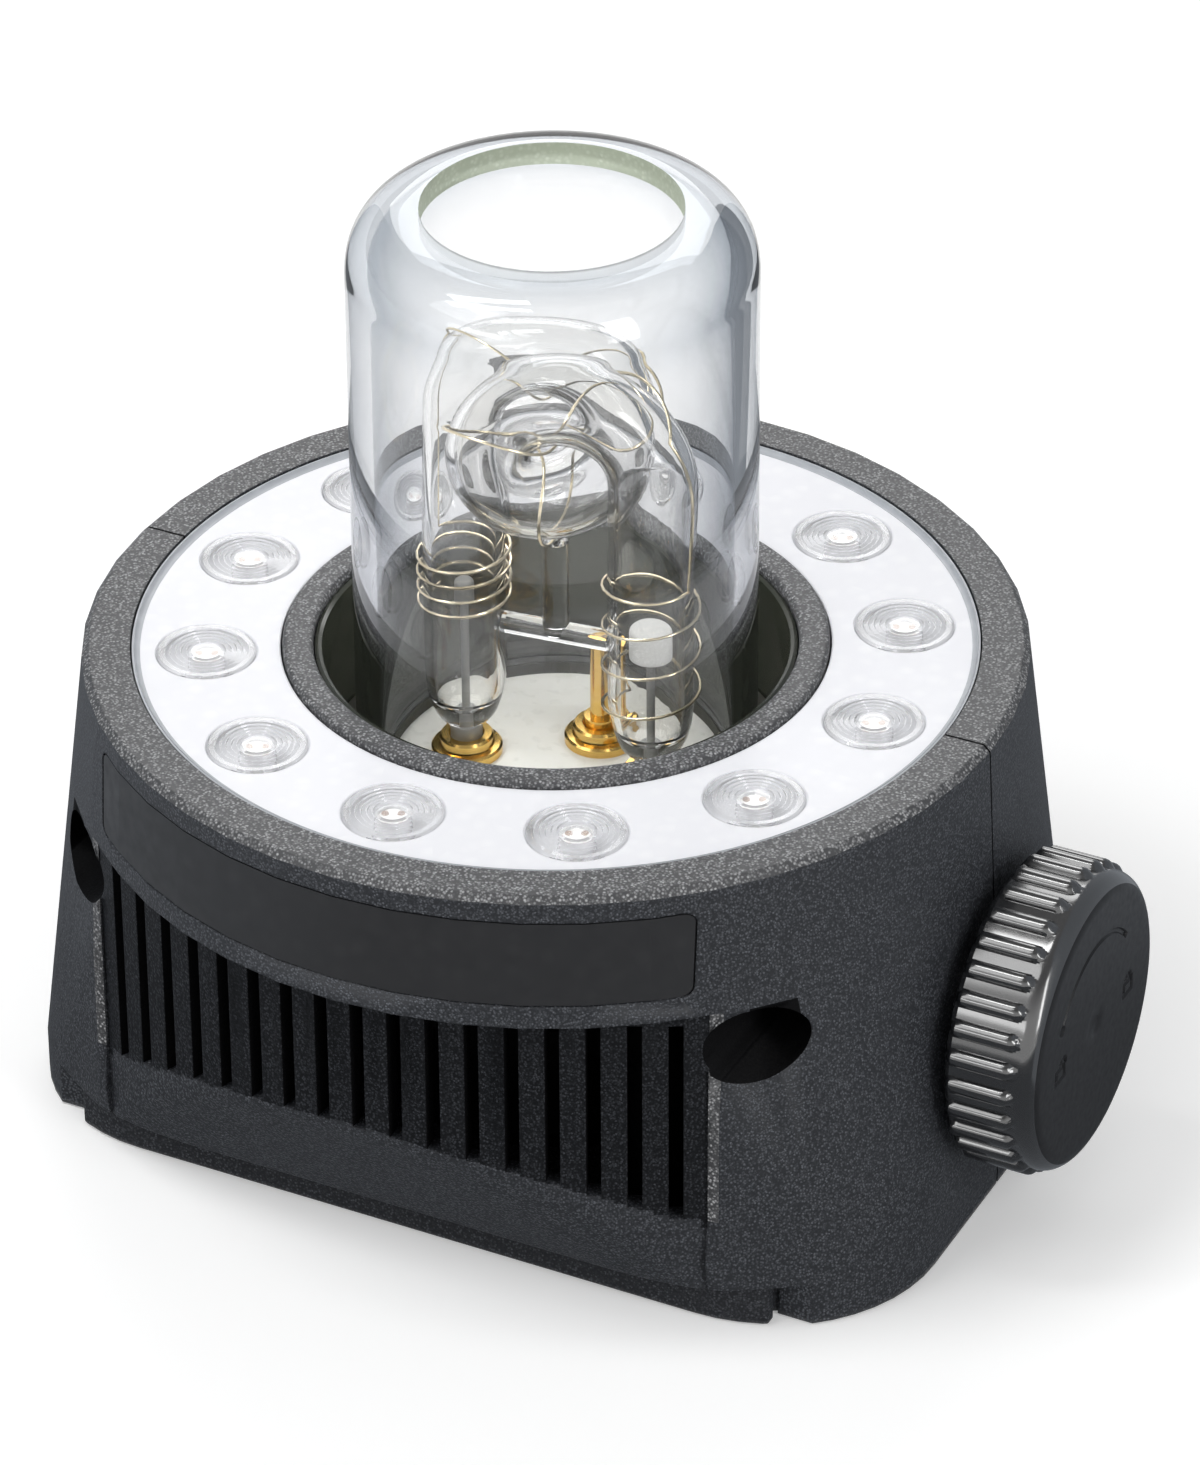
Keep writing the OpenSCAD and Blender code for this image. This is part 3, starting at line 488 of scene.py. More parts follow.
post_round = 0.1 * mm
die_r = 0.48 * mm
die_off = 0.9 * mm
die_back = 0.75 * mm
die_turn = math.radians(26.68)
die_low = post_top - 0.05 * mm
lamps = turned("lamp_dies", [
    (0, lamp_low.z), (seat_r, lamp_low.z), (seat_r, lamp_high.z), (post_r, lamp_high.z),
    (post_r, post_top - post_round), (post_r - post_round, post_top), (0, post_top)], 32)
lamps.data.materials.append(lamp_white)
dies = []
for side in (-1, 1):
    die = turned("die", [(0, die_low), (die_r, die_low), (die_r - 0.05 * mm, post_top + 0.1 * mm),
                         (0, post_top + 0.15 * mm)], 20)
    die_place = Matrix.Translation((side * die_off, die_back, 0))
    die.data.transform(Matrix.Rotation(die_turn, 4, "Z") @ die_place)
    die.data.materials.append(lamp_amber)
    dies.append(die)
joined([lamps] + dies)
shade(lamps)
lamp_copies = []
for i in range(1, lamp_count):
    turn = 2 * math.pi * i / lamp_count
    copy = bpy.data.objects.new("lamp_dies", lamps.data.copy())
    copy.data.transform(Matrix.Translation((ring_r * math.cos(turn), ring_r * math.sin(turn), 0)))
    bpy.context.scene.collection.objects.link(copy)
    lamp_copies.append(copy)
lamps.data.transform(Matrix.Translation((ring_r, 0, 0)))
joined([lamps] + lamp_copies)
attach(lamps, "housing")
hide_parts("led_chips")

cover_white = finish_material("cover white", grain, {
    "Colour": (0.78, 0.785, 0.82, 1), "Spark Colour": (0.82, 0.825, 0.85, 1),
    "Roughness": 0.34, "Grain Scale": 500.0})
cover_top = 60.3 * mm
moulded_copy("led_cover_ring", "housing", cover_white, 0.2 * mm)
# Painted shade: the cover's raised outer edge is its white plastic made grey, for the shade on that edge.
cover_edge_shade = finish_material("cover edge shade grey", grain, {
    "Colour": (0.4, 0.42, 0.45, 1), "Spark Colour": (0.46, 0.48, 0.51, 1),
    "Roughness": 0.4, "Grain Scale": 500.0})
cover_out = 49.7 * mm
edge_in = cover_out - 0.95 * mm
edge_low = cover_top - 0.4 * mm
edge_top = cover_top + 0.5 * mm
edge_profile = [(cover_out, edge_low), (cover_out, edge_top), (cover_out - 0.25 * mm, edge_top)]
edge_profile += arc(edge_in, cover_top + 0.75 * mm, 0.7 * mm, 0, -90, 6)[1:]
edge_profile += [(edge_in, edge_low), (cover_out, edge_low)]
cover_edge = turned("cover_edge", edge_profile, 192)
settle(cover_edge, cover_edge_shade, "housing", None)


def clear_glass():
    group, given, out = surface_group("clear glass", (
        ("Colour", "NodeSocketColor", (0.97, 0.98, 0.98, 1)),
        ("Tint", "NodeSocketColor", (0.95, 0.97, 0.97, 1)),
        ("Roughness", "NodeSocketFloat", 0.01),
    ))
    nodes, links = group.nodes, group.links
    place = nodes.new("ShaderNodeTexCoord")
    haze = nodes.new("ShaderNodeTexNoise")
    haze.inputs["Scale"].default_value = 90.0
    haze.inputs["Detail"].default_value = 2.0
    links.new(place.outputs["Object"], haze.inputs["Vector"])
    tone = blended(group, haze.outputs["Fac"], given.outputs["Colour"], given.outputs["Tint"])
    links.new(tone, out.inputs["Colour"])
    rough = combined(group, "MULTIPLY", given.outputs["Roughness"], haze.outputs["Fac"])
    links.new(rough, out.inputs["Roughness"])
    links.new(haze.outputs["Fac"], out.inputs["Height"])
    return group


glass = clear_glass()


# Clear material whose colour deepens where the surface turns away: partly the tint of thick glass, and partly
# painted shade for the darker edges that the glass shows by refraction and reflection.
def glass_material(name, values, edge, start, ior, transmission=1.0):
    made = finish_material(name, glass, values, Transmission_Weight=transmission, IOR=ior)
    tree = made.node_tree
    facing = tree.nodes.new("ShaderNodeLayerWeight")
    edge_shade_band = ranged(tree, facing.outputs["Facing"], start, 0.95, smooth=True)
    tone = blended(tree, edge_shade_band, tree.nodes["Group"].outputs["Colour"], edge)
    tree.links.new(tone, tree.nodes["Principled BSDF"].inputs["Base Color"])
    return made


lens_clear = glass_material("lens clear", {
    "Colour": (0.98, 0.981, 0.985, 1), "Tint": (0.97, 0.971, 0.977, 1), "Roughness": 0.02},
    (0.8, 0.81, 0.84, 1), 0.6, 1.49, 0.85)
lens_r = 5.85 * mm
lens_under = 56.3 * mm
lens_top = cover_top + 0.15 * mm
recess_r = 1.9 * mm
recess_top = lens_top - 0.9 * mm
flange_r = lens_r + 1 * mm
flange_top = lens_under + 1.2 * mm
lens_profile = [(0, recess_top), (recess_r, recess_top), (recess_r, lens_under), (flange_r, lens_under),
                (flange_r, flange_top), (lens_r, flange_top), (lens_r, lens_top - 0.2 * mm),
                (lens_r - 0.25 * mm, lens_top)]
step_count = 5
step_w = 0.66 * mm
ridge_z = lens_top - 0.02 * mm
groove_z = lens_top - 0.2 * mm
slope_z = lens_top - 0.03 * mm
for i in range(step_count):
    outer = lens_r - 0.9 * mm - i * step_w
    lens_profile += [(outer, ridge_z), (outer - 0.1 * mm, groove_z), (outer - step_w + 0.12 * mm, slope_z)]
lens_profile += [(0.35 * mm, slope_z), (0, lens_top)]
lenses = turned("lamp_lenses", lens_profile, 48)
lenses.data.transform(Matrix.Translation((ring_r, 0, 0)))
round_the_ring(lenses, lamp_count)
settle(lenses, lens_clear, "housing", "led_lenses", 20)
lens_back = finish_material("lens back white", grain, {
    "Colour": (0.68, 0.685, 0.71, 1), "Spark Colour": (0.76, 0.765, 0.79, 1),
    "Roughness": 0.4, "Grain Scale": 3000.0})
lenses.data.materials.append(lens_back)
for face in lenses.data.polygons:
    face.material_index = 1 if face.center.z < lens_under + 0.02 * mm else 0
lenses.visible_shadow = False

# Well: a grained collar round its mouth, a glossy dark lining, a cream ceramic floor with three
# stepped gold sockets, and a soft ring that the dome stands on.
collar_in = 28.5 * mm
collar_out = 32.1 * mm
collar_top = 61 * mm
collar_low = 49.5 * mm
round_out = 0.6 * mm
round_in = 0.7 * mm
collar_profile = [(collar_in, collar_low), (collar_out, collar_low)]
collar_profile += arc(collar_out - round_out, collar_top - round_out, round_out, 0, 90, 5)
collar_profile += arc(collar_in + round_in, collar_top - round_in, round_in, 90, 180, 5)
collar = turned("collar", collar_profile + [(collar_in, collar_low)], 160)
# The collar is dressed all over in the lighter grey of painted light, for the light its top catches.
settle(collar, painted_lit_grey, "housing", "well_collar")

liner_gloss = finish_material("liner gloss", grain, {
    "Colour": (0.032, 0.035, 0.026, 1), "Spark Colour": (0.042, 0.045, 0.034, 1),
    "Roughness": 0.14, "Grain Scale": 250.0})
liner_in = 27.5 * mm
liner_out = 28.3 * mm
liner_low = 43 * mm
liner_top = 60 * mm
liner = turned("liner", [
    (liner_in, liner_low), (liner_out, liner_low), (liner_out, liner_top), (27.9 * mm, 60.2 * mm),
    (liner_in, liner_top), (liner_in, liner_low)], 160)
settle(liner, liner_gloss, "housing", "well_liner")

ceramic = finish_material("cream ceramic", grain, {
    "Colour": (0.92, 0.915, 0.84, 1), "Spark Colour": (0.94, 0.935, 0.87, 1),
    "Roughness": 0.3, "Grain Scale": 600.0})
moulded_copy("tube_floor", "housing", ceramic, 0.15 * mm)

tube_turn = math.radians(27)
leg_half = 10.9 * mm
leg_offset = 4 * mm
trigger_spot = (5.2 * mm, 6 * mm)
hole_r = 2.0 * mm
stem_r = 3.45 * mm
stem_low = 34.5 * mm
disc_r = 4.35 * mm
disc_low = 43 * mm
hub_r = 3.3 * mm
hub_top = 45.5 * mm
socket_profile = [(hole_r, stem_low), (stem_r, stem_low), (stem_r, disc_low), (disc_r, disc_low),
                  (disc_r, 43.9 * mm), (4.1 * mm, 44.15 * mm), (3.4 * mm, 44.2 * mm), (hub_r, 44.4 * mm),
                  (hub_r, 45.2 * mm), (3.05 * mm, hub_top), (2.2 * mm, hub_top), (hole_r, 45.3 * mm),
                  (hole_r, stem_low)]
sockets = []
for spot in ((-leg_half, leg_offset), (leg_half, -leg_offset), trigger_spot):
    socket = turned("socket", socket_profile, 48)
    socket.data.transform(Matrix.Rotation(tube_turn, 4, "Z") @ Matrix.Translation((*spot, 0)))
    sockets.append(socket)
joined(sockets)
settle(sockets[0], gold, "housing", "tube_sockets")

seal_soft = finish_material("seal soft", grain, {
    "Colour": (0.05, 0.05, 0.04, 1), "Spark Colour": (0.06, 0.06, 0.05, 1),
    "Roughness": 0.6, "Grain Scale": 800.0}, bump=0.2)
dress("dome_seal", seal_soft)


# Flash tube: one length of clear quartz, bent into a coil of one and a half turns on two legs, with
# its ends drawn in round the electrodes.
coil_r = 6.6 * mm
coil_pitch = 11.8 * mm
coil_z = 87 * mm
coil_turns = 1.5
leg_bend = 16 * mm
leg_end = 47.5 * mm
leg_len = coil_z - leg_end
coil_len = coil_turns * math.pi * (coil_r + leg_half)
tube_len = 2 * leg_len + coil_len
leg_part = leg_len / tube_len


def leg_at(z):
    t = min(1, max(0, (z - coil_z + leg_bend) / leg_bend))
    t = t * t * (3 - 2 * t)
    return leg_half, leg_offset + (coil_turns / 2 * coil_pitch - leg_offset) * t, z


def tube_at(u):
    if u < leg_part:
        x, y, z = leg_at(leg_end + leg_len * u / leg_part)
        return Vector((-x, y, z))
    if u > 1 - leg_part:
        x, y, z = leg_at(leg_end + leg_len * (1 - u) / leg_part)
        return Vector((x, -y, z))
    turn = (u - leg_part) / (1 - 2 * leg_part) * coil_turns
    angle = 2 * math.pi * turn
    r = leg_half - (leg_half - coil_r) * max(0, math.sin(math.pi * turn / coil_turns)) ** 1.5
    return Vector((-r * math.cos(angle), coil_pitch * (coil_turns / 2 - turn), coil_z + r * math.sin(angle)))


def swept(name, points, radii, roundness):
    path = bpy.data.curves.new(name, "CURVE")
    path.dimensions = "3D"
    path.bevel_depth = 1.0
    path.bevel_resolution = roundness
    path.use_fill_caps = True
    line = path.splines.new("POLY")
    line.points.add(len(points) - 1)
    for spot, point, radius in zip(line.points, points, radii):
        spot.co = (*point, 1)
        spot.radius = radius
    piece = bpy.data.objects.new(name, path)
    bpy.context.scene.collection.objects.link(piece)
    pick([piece])
    bpy.ops.object.convert(target="MESH")
    piece.data.transform(Matrix.Rotation(tube_turn, 4, "Z"))
    return piece


tube_r = 5 * mm
tube_wall = 1 * mm
end_len = 8 * mm
tip_r = 2 * mm
seal_len = 2.2 * mm
seal_r = 1.3 * mm


def outer_radius(distance):
    t = min(1, distance / end_len)
    return tip_r + (tube_r - tip_r) * math.sqrt(max(0, 1 - (1 - t) ** 2))


def inner_radius(distance):
    return min(outer_radius(distance) - tube_wall, seal_r + 1.5 * (distance - seal_len))


quartz = glass_material("quartz", {
    "Colour": (0.985, 0.985, 0.98, 1), "Tint": (0.975, 0.972, 0.962, 1), "Roughness": 0.01},
    (0.7, 0.71, 0.72, 1), 0.45, 1.46)
ring_count = 240
spots = [i / ring_count for i in range(ring_count + 1)]
end_rings = 14
end_spots = [end_len / tube_len * (i / end_rings) ** 2 for i in range(1, end_rings)]
spots = sorted(set(spots + end_spots + [1 - s for s in end_spots]))


def to_end(u):
    return min(u, 1 - u) * tube_len


tube_sides = 7
outer_radii = [outer_radius(to_end(u)) for u in spots]
outside = swept("quartz_tube", [tube_at(u) for u in spots], outer_radii, tube_sides)
bore_spots = [u for u in spots if to_end(u) > seal_len]
bore_radii = [inner_radius(to_end(u)) for u in bore_spots]
bore = swept("quartz_bore", [tube_at(u) for u in bore_spots], bore_radii, tube_sides)
bore.data.flip_normals()
joined([outside, bore])
settle(outside, quartz, "tube", "flash_tube", 50)
outside.visible_shadow = False

# Electrodes, cross bar and trigger post: thin rods sealed into the legs, with a slim tip on the left
# and a wide pale pellet on the right, a glass bar that steadies the legs, and a gold trigger post.
electrode = finish_material("electrode metal", streaks, {
    "Colour": (0.3, 0.3, 0.29, 1), "Dull Colour": (0.22, 0.22, 0.21, 1), "Roughness": 0.45}, Metallic=0.4)
pellet_pale = finish_material("pellet pale", grain, {
    "Colour": (0.62, 0.62, 0.6, 1), "Spark Colour": (0.74, 0.74, 0.72, 1), "Roughness": 0.7,
    "Grain Scale": 3000.0}, bump=0.3)
pin_low = 37.5 * mm
pin_r = 1.95 * mm
pin_top = 47.4 * mm
rod_r = 0.5 * mm
slim_tip = (-1, 1.2 * mm, 3 * mm, 67 * mm)
wide_pellet = (1, 2.5 * mm, 4 * mm, 65 * mm)
pale_from = 60.9 * mm
rods = []
for side, pellet_r, pellet_h, pellet_top in (slim_tip, wide_pellet):
    pellet_low = pellet_top - pellet_h
    rod_profile = [(0, pin_low), (pin_r - 0.5 * mm, pin_low), (pin_r, pin_low + 0.5 * mm), (pin_r, 47 * mm),
                   (pin_r - 0.4 * mm, pin_top), (rod_r, pin_top), (rod_r, pellet_low)]
    rod_profile += arc(pellet_r - 0.3 * mm, pellet_low + 0.3 * mm, 0.3 * mm, -90, 0, 4)
    rod_profile += arc(pellet_r - 0.5 * mm, pellet_top - 0.5 * mm, 0.5 * mm, 0, 90, 5) + [(0, pellet_top)]
    rod = turned("electrode", rod_profile, 40)
    leg_place = Matrix.Translation((side * leg_half, -side * leg_offset, 0))
    rod.data.transform(Matrix.Rotation(tube_turn, 4, "Z") @ leg_place)
    rods.append(rod)
joined(rods)
settle(rods[0], electrode, "tube", "electrodes")
rods[0].data.materials.append(pellet_pale)
for face in rods[0].data.polygons:
    on_pellet = face.center.x > 0 and face.center.z > pale_from
    face.material_index = 1 if on_pellet else 0
dress("tube_bridge", quartz)
dress("trigger_pin", gold)

# Trigger wire: fine bright wire, wound close on the left leg, wide round the coil and wider on the
# right leg, then led across to the gold post.
wire_bright = finish_material("wire bright", streaks, {
    "Colour": (0.86, 0.78, 0.6, 1), "Dull Colour": (0.66, 0.56, 0.38, 1), "Roughness": 0.2}, Metallic=1.0)
wire_r = 0.2 * mm
wire_rings = 24
wire_lay = (tube_r + 0.25 * mm + wire_r) / math.cos(math.pi / 12)
wire_turns = 4
coil_wire_turns = 4
wire_coil_clear = 4 * mm
left_low = 64.2 * mm
left_pitch = 2 * mm
right_low = 53.6 * mm
right_pitch = 4.8 * mm
pass_angle = 45
end_angle = 240
post_clear = 1.3 * mm


def beside(u, distance, angle):
    ahead = (tube_at(min(1, u + 0.002)) - tube_at(max(0, u - 0.002))).normalized()
    side = ahead.cross(Vector((0, 1, 0))).normalized()
    return tube_at(u) + distance * (side * math.cos(angle) + ahead.cross(side) * math.sin(angle))


left_from = (left_low - leg_end) / tube_len
left_to = (left_low + wire_turns * left_pitch - leg_end) / tube_len
right_from = 1 - (right_low + wire_turns * right_pitch - leg_end) / tube_len
right_to = 1 - (right_low - leg_end) / tube_len
on_coil = leg_part + wire_coil_clear / tube_len
down_angle = 360 * coil_wire_turns + pass_angle
last_angle = down_angle + 360 * (wire_turns - 1) + end_angle - pass_angle
wire_stops = [(left_from, -pass_angle - 360 * wire_turns, 0), (left_to, -pass_angle, wire_turns * wire_rings),
              (on_coil, -pass_angle, wire_rings), (1 - on_coil, down_angle, 2 * coil_wire_turns * wire_rings),
              (right_from, down_angle, wire_rings), (right_to, last_angle, wire_turns * wire_rings)]
wire_points = []
for (from_u, from_angle, _), (to_u, to_angle, steps) in zip(wire_stops, wire_stops[1:]):
    for k in range(steps):
        t = k / steps
        angle = math.radians(from_angle + (to_angle - from_angle) * t)
        wire_points.append(beside(from_u + (to_u - from_u) * t, wire_lay, angle))
wire_points.append(beside(right_to, wire_lay, math.radians(last_angle)))
post = Vector((trigger_spot[0], trigger_spot[1], wire_points[-1][2]))
reach = post - wire_points[-1]
lead = reach * (1 - post_clear / reach.length)
wire_points += [wire_points[-1] + lead * i / 4 for i in range(1, 5)]
wire = swept("trigger_winding", wire_points, [wire_r] * len(wire_points), 1)
settle(wire, wire_bright, "tube", "trigger_wire", 60)

# Glass dome: a thick clear blown cup, open at the top, whose mouth is cut and ground. It stands on
# the soft ring in the well and lifts straight out.
dome_clear = glass_material("dome clear", {
    "Colour": (0.978, 0.98, 0.983, 1), "Tint": (0.968, 0.971, 0.975, 1), "Roughness": 0.006},
    (0.3, 0.33, 0.37, 1), 0.14, 1.47)
dome_r = 23.7 * mm
dome_wall = 2.8 * mm
dome_in = dome_r - dome_wall
dome_bottom = 44.55 * mm
dome_top = 118 * mm
shoulder_r = 8.6 * mm
shoulder_centre = (dome_r - shoulder_r, dome_top - shoulder_r)
shoulder_soft = 0.84
shoulder_steps = 28
wall_steps = 30


def object_height(tree):
    spot = tree.nodes.new("ShaderNodeTexCoord")
    split = tree.nodes.new("ShaderNodeSeparateXYZ")
    tree.links.new(spot.outputs["Object"], split.inputs["Vector"])
    return split.outputs["Z"]


# Painted shade: from 14 mm below the top upward, glass that turns away is greyed a little, for the grey of
# the dome's shoulder.
tree = dome_clear.node_tree
shoulder_band = ranged(tree, object_height(tree), dome_top - 14 * mm, dome_top - 5 * mm, smooth=True)
turned_away = ranged(tree, tree.nodes["Layer Weight"].outputs["Facing"], 0.04, 0.4, 0.25)
shoulder_shade_factor = combined(tree, "MULTIPLY", shoulder_band, turned_away)
shoulder_shade_tone = blended(tree, shoulder_shade_factor, tree.nodes["Group"].outputs["Colour"], (0.64, 0.68, 0.72, 1))
tree.links.new(shoulder_shade_tone, tree.nodes["Mix"].inputs["A"])


def soft_shoulder(radius):
    centre_r, centre_z = shoulder_centre
    turns = [math.pi / 2 * i / shoulder_steps for i in range(shoulder_steps + 1)]
    return [(centre_r + radius * max(0, math.cos(a)) ** shoulder_soft,
             centre_z + radius * math.sin(a) ** shoulder_soft) for a in turns]


wall_h = shoulder_centre[1] - dome_bottom
dome_profile = [(dome_in, dome_bottom), (dome_r - 0.3 * mm, dome_bottom), (dome_r, dome_bottom + 0.3 * mm)]
dome_profile += [(dome_r, dome_bottom + wall_h * i / wall_steps) for i in range(1, wall_steps)]
dome_profile += soft_shoulder(shoulder_r)
dome_profile += soft_shoulder(shoulder_r - dome_wall)[::-1]
dome_profile += [(dome_in, shoulder_centre[1] - wall_h * i / wall_steps) for i in range(1, wall_steps + 1)]
dome = turned("dome", dome_profile, 192)
settle(dome, dome_clear, "dome", "glass_dome", 40)
dome.visible_shadow = False
rim_ground = finish_material("ground rim", grain, {
    "Colour": (0.5, 0.56, 0.42, 1), "Spark Colour": (0.66, 0.72, 0.58, 1),
    "Roughness": 0.6, "Grain Scale": 1800.0}, bump=0.3, Transmission_Weight=0.3, IOR=1.47)
# Seen from behind through the glass, the ground band is painted near-white, as bright as the lit glass round
# it, with a painted dark line along its top edge: painted light and shade.
tree = rim_ground.node_tree
inside = tree.nodes.new("ShaderNodeNewGeometry")
painted_line_band = ranged(tree, object_height(tree), dome_top - 0.9 * mm, dome_top - 0.3 * mm)
back_side_paint = blended(tree, painted_line_band, (0.93, 0.94, 0.94, 1), (0.2, 0.22, 0.22, 1))
back_side_light_and_shade = blended(tree, inside.outputs["Backfacing"], tree.nodes["Group"].outputs["Colour"], back_side_paint)
tree.links.new(back_side_light_and_shade, tree.nodes["Principled BSDF"].inputs["Base Color"])
dome.data.materials.append(rim_ground)
for face in dome.data.polygons:
    on_mouth = abs(math.hypot(face.center.x, face.center.y) - (dome_r - shoulder_r)) < 0.05 * mm
    face.material_index = 1 if on_mouth else 0

# Lock knob: a black moulded knob with rounded ribs that stop short of its smooth face. A quarter
# turn of it swings the cam.
knob_black = finish_material("knob black", grain, {
    "Colour": (0.013, 0.0132, 0.0145, 1), "Spark Colour": (0.018, 0.0184, 0.02, 1),
    "Roughness": 0.34, "Grain Scale": 1200.0}, bump=0.02, Specular_IOR_Level=0.3)
rib_gloss = finish_material("rib gloss", grain, {
    "Colour": (0.008, 0.0082, 0.009, 1), "Spark Colour": (0.011, 0.0113, 0.0122, 1),
    "Roughness": 0.2, "Grain Scale": 1200.0}, Specular_IOR_Level=0.9, Coat_Weight=1.0, Coat_Roughness=0.12,
    Coat_IOR=1.8)
knob_in = 58.4 * mm
knob_len = 11.4 * mm
knob_r = 18.1 * mm
knob_z = 26.5 * mm
knob_edge = 2.4 * mm
knob_chamfer = 0.8 * mm
shaft_hole_r = 4.05 * mm
shaft_hole_len = 8.4 * mm
rib_count = 32
rib_h = 0.9 * mm
rib_half = 1.1 * mm
steps_per_rib = 22
side_rings = 24
side_len = knob_len - knob_edge - knob_chamfer
face_in = 6.5 * mm
face_out = 13.5 * mm
face_step = 0.2 * mm
face_rings = round((face_out - face_in) / face_step)
knob_profile = [(0, shaft_hole_len), (shaft_hole_r, shaft_hole_len), (shaft_hole_r, 0),
                (knob_r - knob_chamfer, 0)]
knob_profile += [(knob_r, knob_chamfer + side_len * i / side_rings) for i in range(side_rings)]
knob_profile += arc(knob_r - knob_edge, knob_len - knob_edge, knob_edge, 0, 90, 12)
knob_profile += [(face_out - face_step * i, knob_len) for i in range(face_rings + 1)]
knob_profile += [(3 * mm, knob_len), (1.3 * mm, knob_len)]
knob_profile += [(1.1 * mm, knob_len - 0.15 * mm), (0, knob_len - 0.3 * mm)]
knob = turned("knob", knob_profile, rib_count * steps_per_rib)
rib_start = 0.7 * mm
rib_end = knob_len - knob_edge - 0.2 * mm
rib_pitch = 2 * math.pi / rib_count
mark_r = 11.3 * mm
mark_depth = 0.28 * mm
stroke = 0.36 * mm
arc_start = 40
arc_end = 150
dot_turn = math.radians(152)
no_mark = 1.0
closed_lock = (9.6 * mm, 0.0)
open_lock = (-10.2 * mm, 0.75 * mm)


# Distance from a point of the face to the nearest engraved stroke. The face is seen with the rear to
# the right: an arc with a dot at its left end, a closed lock on the right and an open one on the left.
def to_mark(right, up):
    r, turn = math.hypot(right, up), math.degrees(math.atan2(up, right))
    nearest = abs(r - mark_r) if arc_start < turn < arc_end else no_mark
    dot = math.hypot(right - mark_r * math.cos(dot_turn), up - mark_r * math.sin(dot_turn))
    nearest = min(nearest, dot - 0.4 * mm)
    for centre, lean in (closed_lock, open_lock):
        across, above = right - centre, up
        frame_edge = max(abs(across) - 1.15 * mm, abs(above + 0.6 * mm) - 0.8 * mm)
        bow = abs(math.hypot(across - lean, above - 0.35 * mm) - 0.8 * mm)
        shackle = bow if above > 0.2 * mm else no_mark
        nearest = min(nearest, abs(frame_edge), shackle)
    return nearest


for corner in knob.data.vertices:
    r = math.hypot(corner.co.x, corner.co.y)
    if r > knob_r - 0.05 * mm and rib_start < corner.co.z < rib_end:
        along = min(1, (corner.co.z - rib_start) / (0.6 * mm), (rib_end - corner.co.z) / (1.2 * mm))
        off = (math.atan2(corner.co.y, corner.co.x) + rib_pitch / 2) % rib_pitch - rib_pitch / 2
        swell = math.sqrt(1 - (1 - along) ** 2)
        across = min(1, abs(off) * knob_r / (rib_half * swell + 0.0001 * mm))
        lift = rib_h * swell * math.sqrt(1 - across ** 2)
        corner.co.x *= (r + lift) / r
        corner.co.y *= (r + lift) / r
    elif corner.co.z > knob_len - 0.01 * mm and face_in < r < face_out:
        into_stroke = stroke - to_mark(corner.co.y, -corner.co.x)
        corner.co.z -= mark_depth * min(1, max(0, into_stroke / (0.5 * stroke)))
knob.data.transform(Matrix.Translation((knob_in, 0, knob_z)) @ Matrix.Rotation(math.pi / 2, 4, "Y"))
settle(knob, knob_black, "lock", "lock_knob", 40)
knob.data.materials.append(rib_gloss)
for face in knob.data.polygons:
    face.material_index = 0 if face.center.x > knob_in + knob_len - 0.4 * mm else 1

# Studio: a pale floor that fades to white, a large soft light over the left shoulder, one on the
# knob's side, one behind and two for its ribs, two grey cards that draw the edges of the glass, and
# a dark flag on the floor that only reflections show.
def seen_rays(tree):
    ray = tree.nodes.new("ShaderNodeLightPath")
    seen = combined(tree, "MAXIMUM", ray.outputs["Is Camera Ray"], ray.outputs["Is Glossy Ray"])
    return combined(tree, "MAXIMUM", seen, ray.outputs["Is Transmission Ray"])


floor_size = 6
floor_drop = 0.0003
bpy.ops.object.select_all(action="DESELECT")
bpy.ops.mesh.primitive_plane_add(size=floor_size, location=(0, 0, -floor_drop))
ground = bpy.context.object
ground.name = "studio_floor"
paper = bpy.data.materials.new("white paper")
paper.use_nodes = True
tree = paper.node_tree
shader = tree.nodes["Principled BSDF"]
shader.inputs["Base Color"].default_value = (0.86, 0.86, 0.86, 1)
shader.inputs["Roughness"].default_value = 0.9
shader.inputs["Emission Color"].default_value = (1, 1, 1, 1)
spot = tree.nodes.new("ShaderNodeTexCoord")
away = tree.nodes.new("ShaderNodeVectorMath")
away.operation = "LENGTH"
tree.links.new(spot.outputs["Object"], away.inputs[0])
fade = ranged(tree, away.outputs["Value"], 0.25, 1.2, 0.27, 0.9)
glow = combined(tree, "MULTIPLY", seen_rays(tree), fade)
tree.links.new(glow, shader.inputs["Emission Strength"])
ground.data.materials.append(paper)

world = bpy.data.worlds.new("studio")
bpy.context.scene.world = world
world.use_nodes = True
tree = world.node_tree
way = tree.nodes.new("ShaderNodeTexCoord")
split = tree.nodes.new("ShaderNodeSeparateXYZ")
tree.links.new(way.outputs["Generated"], split.inputs["Vector"])
backdrop = ranged(tree, split.outputs["Z"], 0.45, 0.8, 1.0, 0.3)
level = tree.nodes.new("ShaderNodeMix")
level.inputs["A"].default_value = 0.3
tree.links.new(seen_rays(tree), level.inputs["Factor"])
tree.links.new(backdrop, level.inputs["B"])
sky = tree.nodes["Background"]
sky.inputs["Color"].default_value = (1, 1, 1, 1)
tree.links.new(level.outputs["Result"], sky.inputs["Strength"])


def soft_light(name, place, aim, width, height, power):
    lamp = bpy.data.lights.new(name, "AREA")
    lamp.shape = "RECTANGLE"
    lamp.size = width
    lamp.size_y = height
    lamp.energy = power
    stand = bpy.data.objects.new(name, lamp)
    bpy.context.scene.collection.objects.link(stand)
    stand.location = place
    stand.rotation_euler = (Vector(aim) - Vector(place)).to_track_quat("-Z", "Y").to_euler()


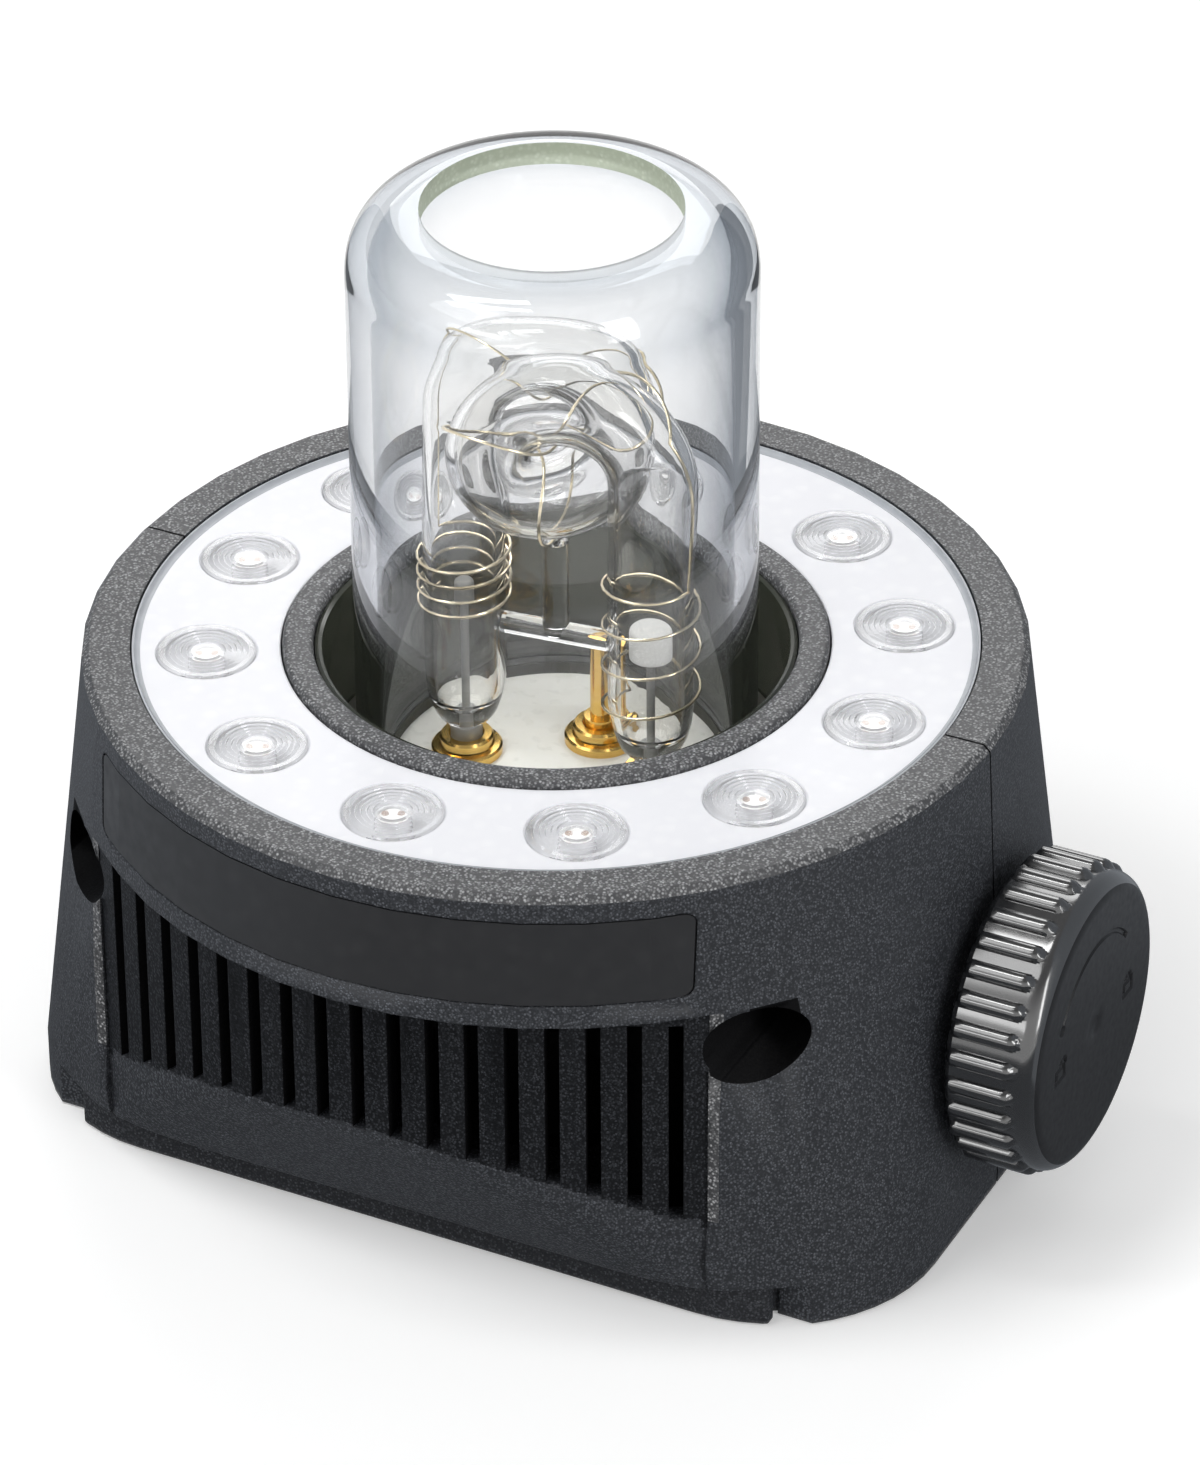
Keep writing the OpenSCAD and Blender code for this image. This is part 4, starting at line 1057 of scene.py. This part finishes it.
soft_light("key", (-0.38, -0.45, 0.75), (0, 0, 0.05), 0.5, 0.5, 2.2)
soft_light("knob side", (0.62, -0.28, 0.36), (0.05, 0, 0.04), 0.2, 0.5, 1.9)
soft_light("back", (-0.2, 0.6, 0.55), (0, 0, 0.06), 0.7, 0.3, 1.9)
soft_light("rib top", (-0.274, -0.18, 0.845), (0.065, 0, 0.03), 0.12, 0.5, 1.9)
soft_light("rib front", (-0.274, -0.765, 0.361), (0.065, 0, 0.03), 0.5, 0.12, 0.7)


def card_material(name, near, far):
    made = bpy.data.materials.new(name)
    made.use_nodes = True
    tree = made.node_tree
    place = tree.nodes.new("ShaderNodeTexCoord")
    split = tree.nodes.new("ShaderNodeSeparateXYZ")
    tree.links.new(place.outputs["Generated"], split.inputs["Vector"])
    fade = ranged(tree, split.outputs["Y"], 0.0, 1.0, near, far)
    shader = tree.nodes["Principled BSDF"]
    shader.inputs["Base Color"].default_value = (0, 0, 0, 1)
    shader.inputs["Specular IOR Level"].default_value = 0
    shader.inputs["Emission Color"].default_value = (0.86, 0.92, 1, 1)
    tree.links.new(fade, shader.inputs["Emission Strength"])
    return made


left_grey = card_material("left card grey", 0.6, 0.32)
right_grey = card_material("right card grey", 0.45, 0.25)
flag_grey = card_material("floor flag grey", 0.12, 0.2)
azimuth = math.radians(26.68)
upright = Matrix.Rotation(math.pi / 2, 4, "Y")
flat = Matrix.Identity(4)
cards = (((-0.1, 0.05, 0.12), upright, (0.24, 0.3), left_grey, False),
         ((0.1, 0.05, 0.12), upright, (0.24, 0.3), right_grey, True),
         ((0.05, -0.16, 0.0005), flat, (0.7, 0.62), flag_grey, False))
for place, stand, size, tone, in_glass in cards:
    bpy.ops.object.select_all(action="DESELECT")
    bpy.ops.mesh.primitive_plane_add(size=1)
    card = bpy.context.object
    card.name = "dark_card"
    card.data.transform(Matrix.Rotation(azimuth, 4, "Z") @ Matrix.Translation(place) @ stand
                        @ Matrix.Diagonal((*size, 1, 1)))
    card.data.materials.append(tone)
    card.visible_camera = card.visible_diffuse = card.visible_shadow = False
    card.visible_transmission = in_glass

# Camera: the photograph's own view, from the front right and above. Its turn is the cards' turn.
elevation = math.radians(32.89)
roll = math.radians(-0.373)
camera_at = Vector((0.3337, -0.6528, 0.5212))
level_back = math.cos(elevation)
back = Vector((math.sin(azimuth) * level_back, -math.cos(azimuth) * level_back, math.sin(elevation)))
right = Vector((math.cos(azimuth), math.sin(azimuth), 0))
up = back.cross(right)
right, up = math.cos(roll) * right + math.sin(roll) * up, math.cos(roll) * up - math.sin(roll) * right
view = bpy.data.cameras.new("photo view")
view.sensor_fit = "VERTICAL"
view.sensor_height = 36
view.sensor_width = 36
view.lens = 181.5
camera = bpy.data.objects.new("photo view", view)
bpy.context.scene.collection.objects.link(camera)
camera.matrix_world = Matrix((
    (right.x, up.x, back.x, camera_at.x), (right.y, up.y, back.y, camera_at.y),
    (right.z, up.z, back.z, camera_at.z), (0, 0, 0, 1)))
bpy.context.scene.camera = camera
bpy.context.scene.view_settings.view_transform = "Standard"
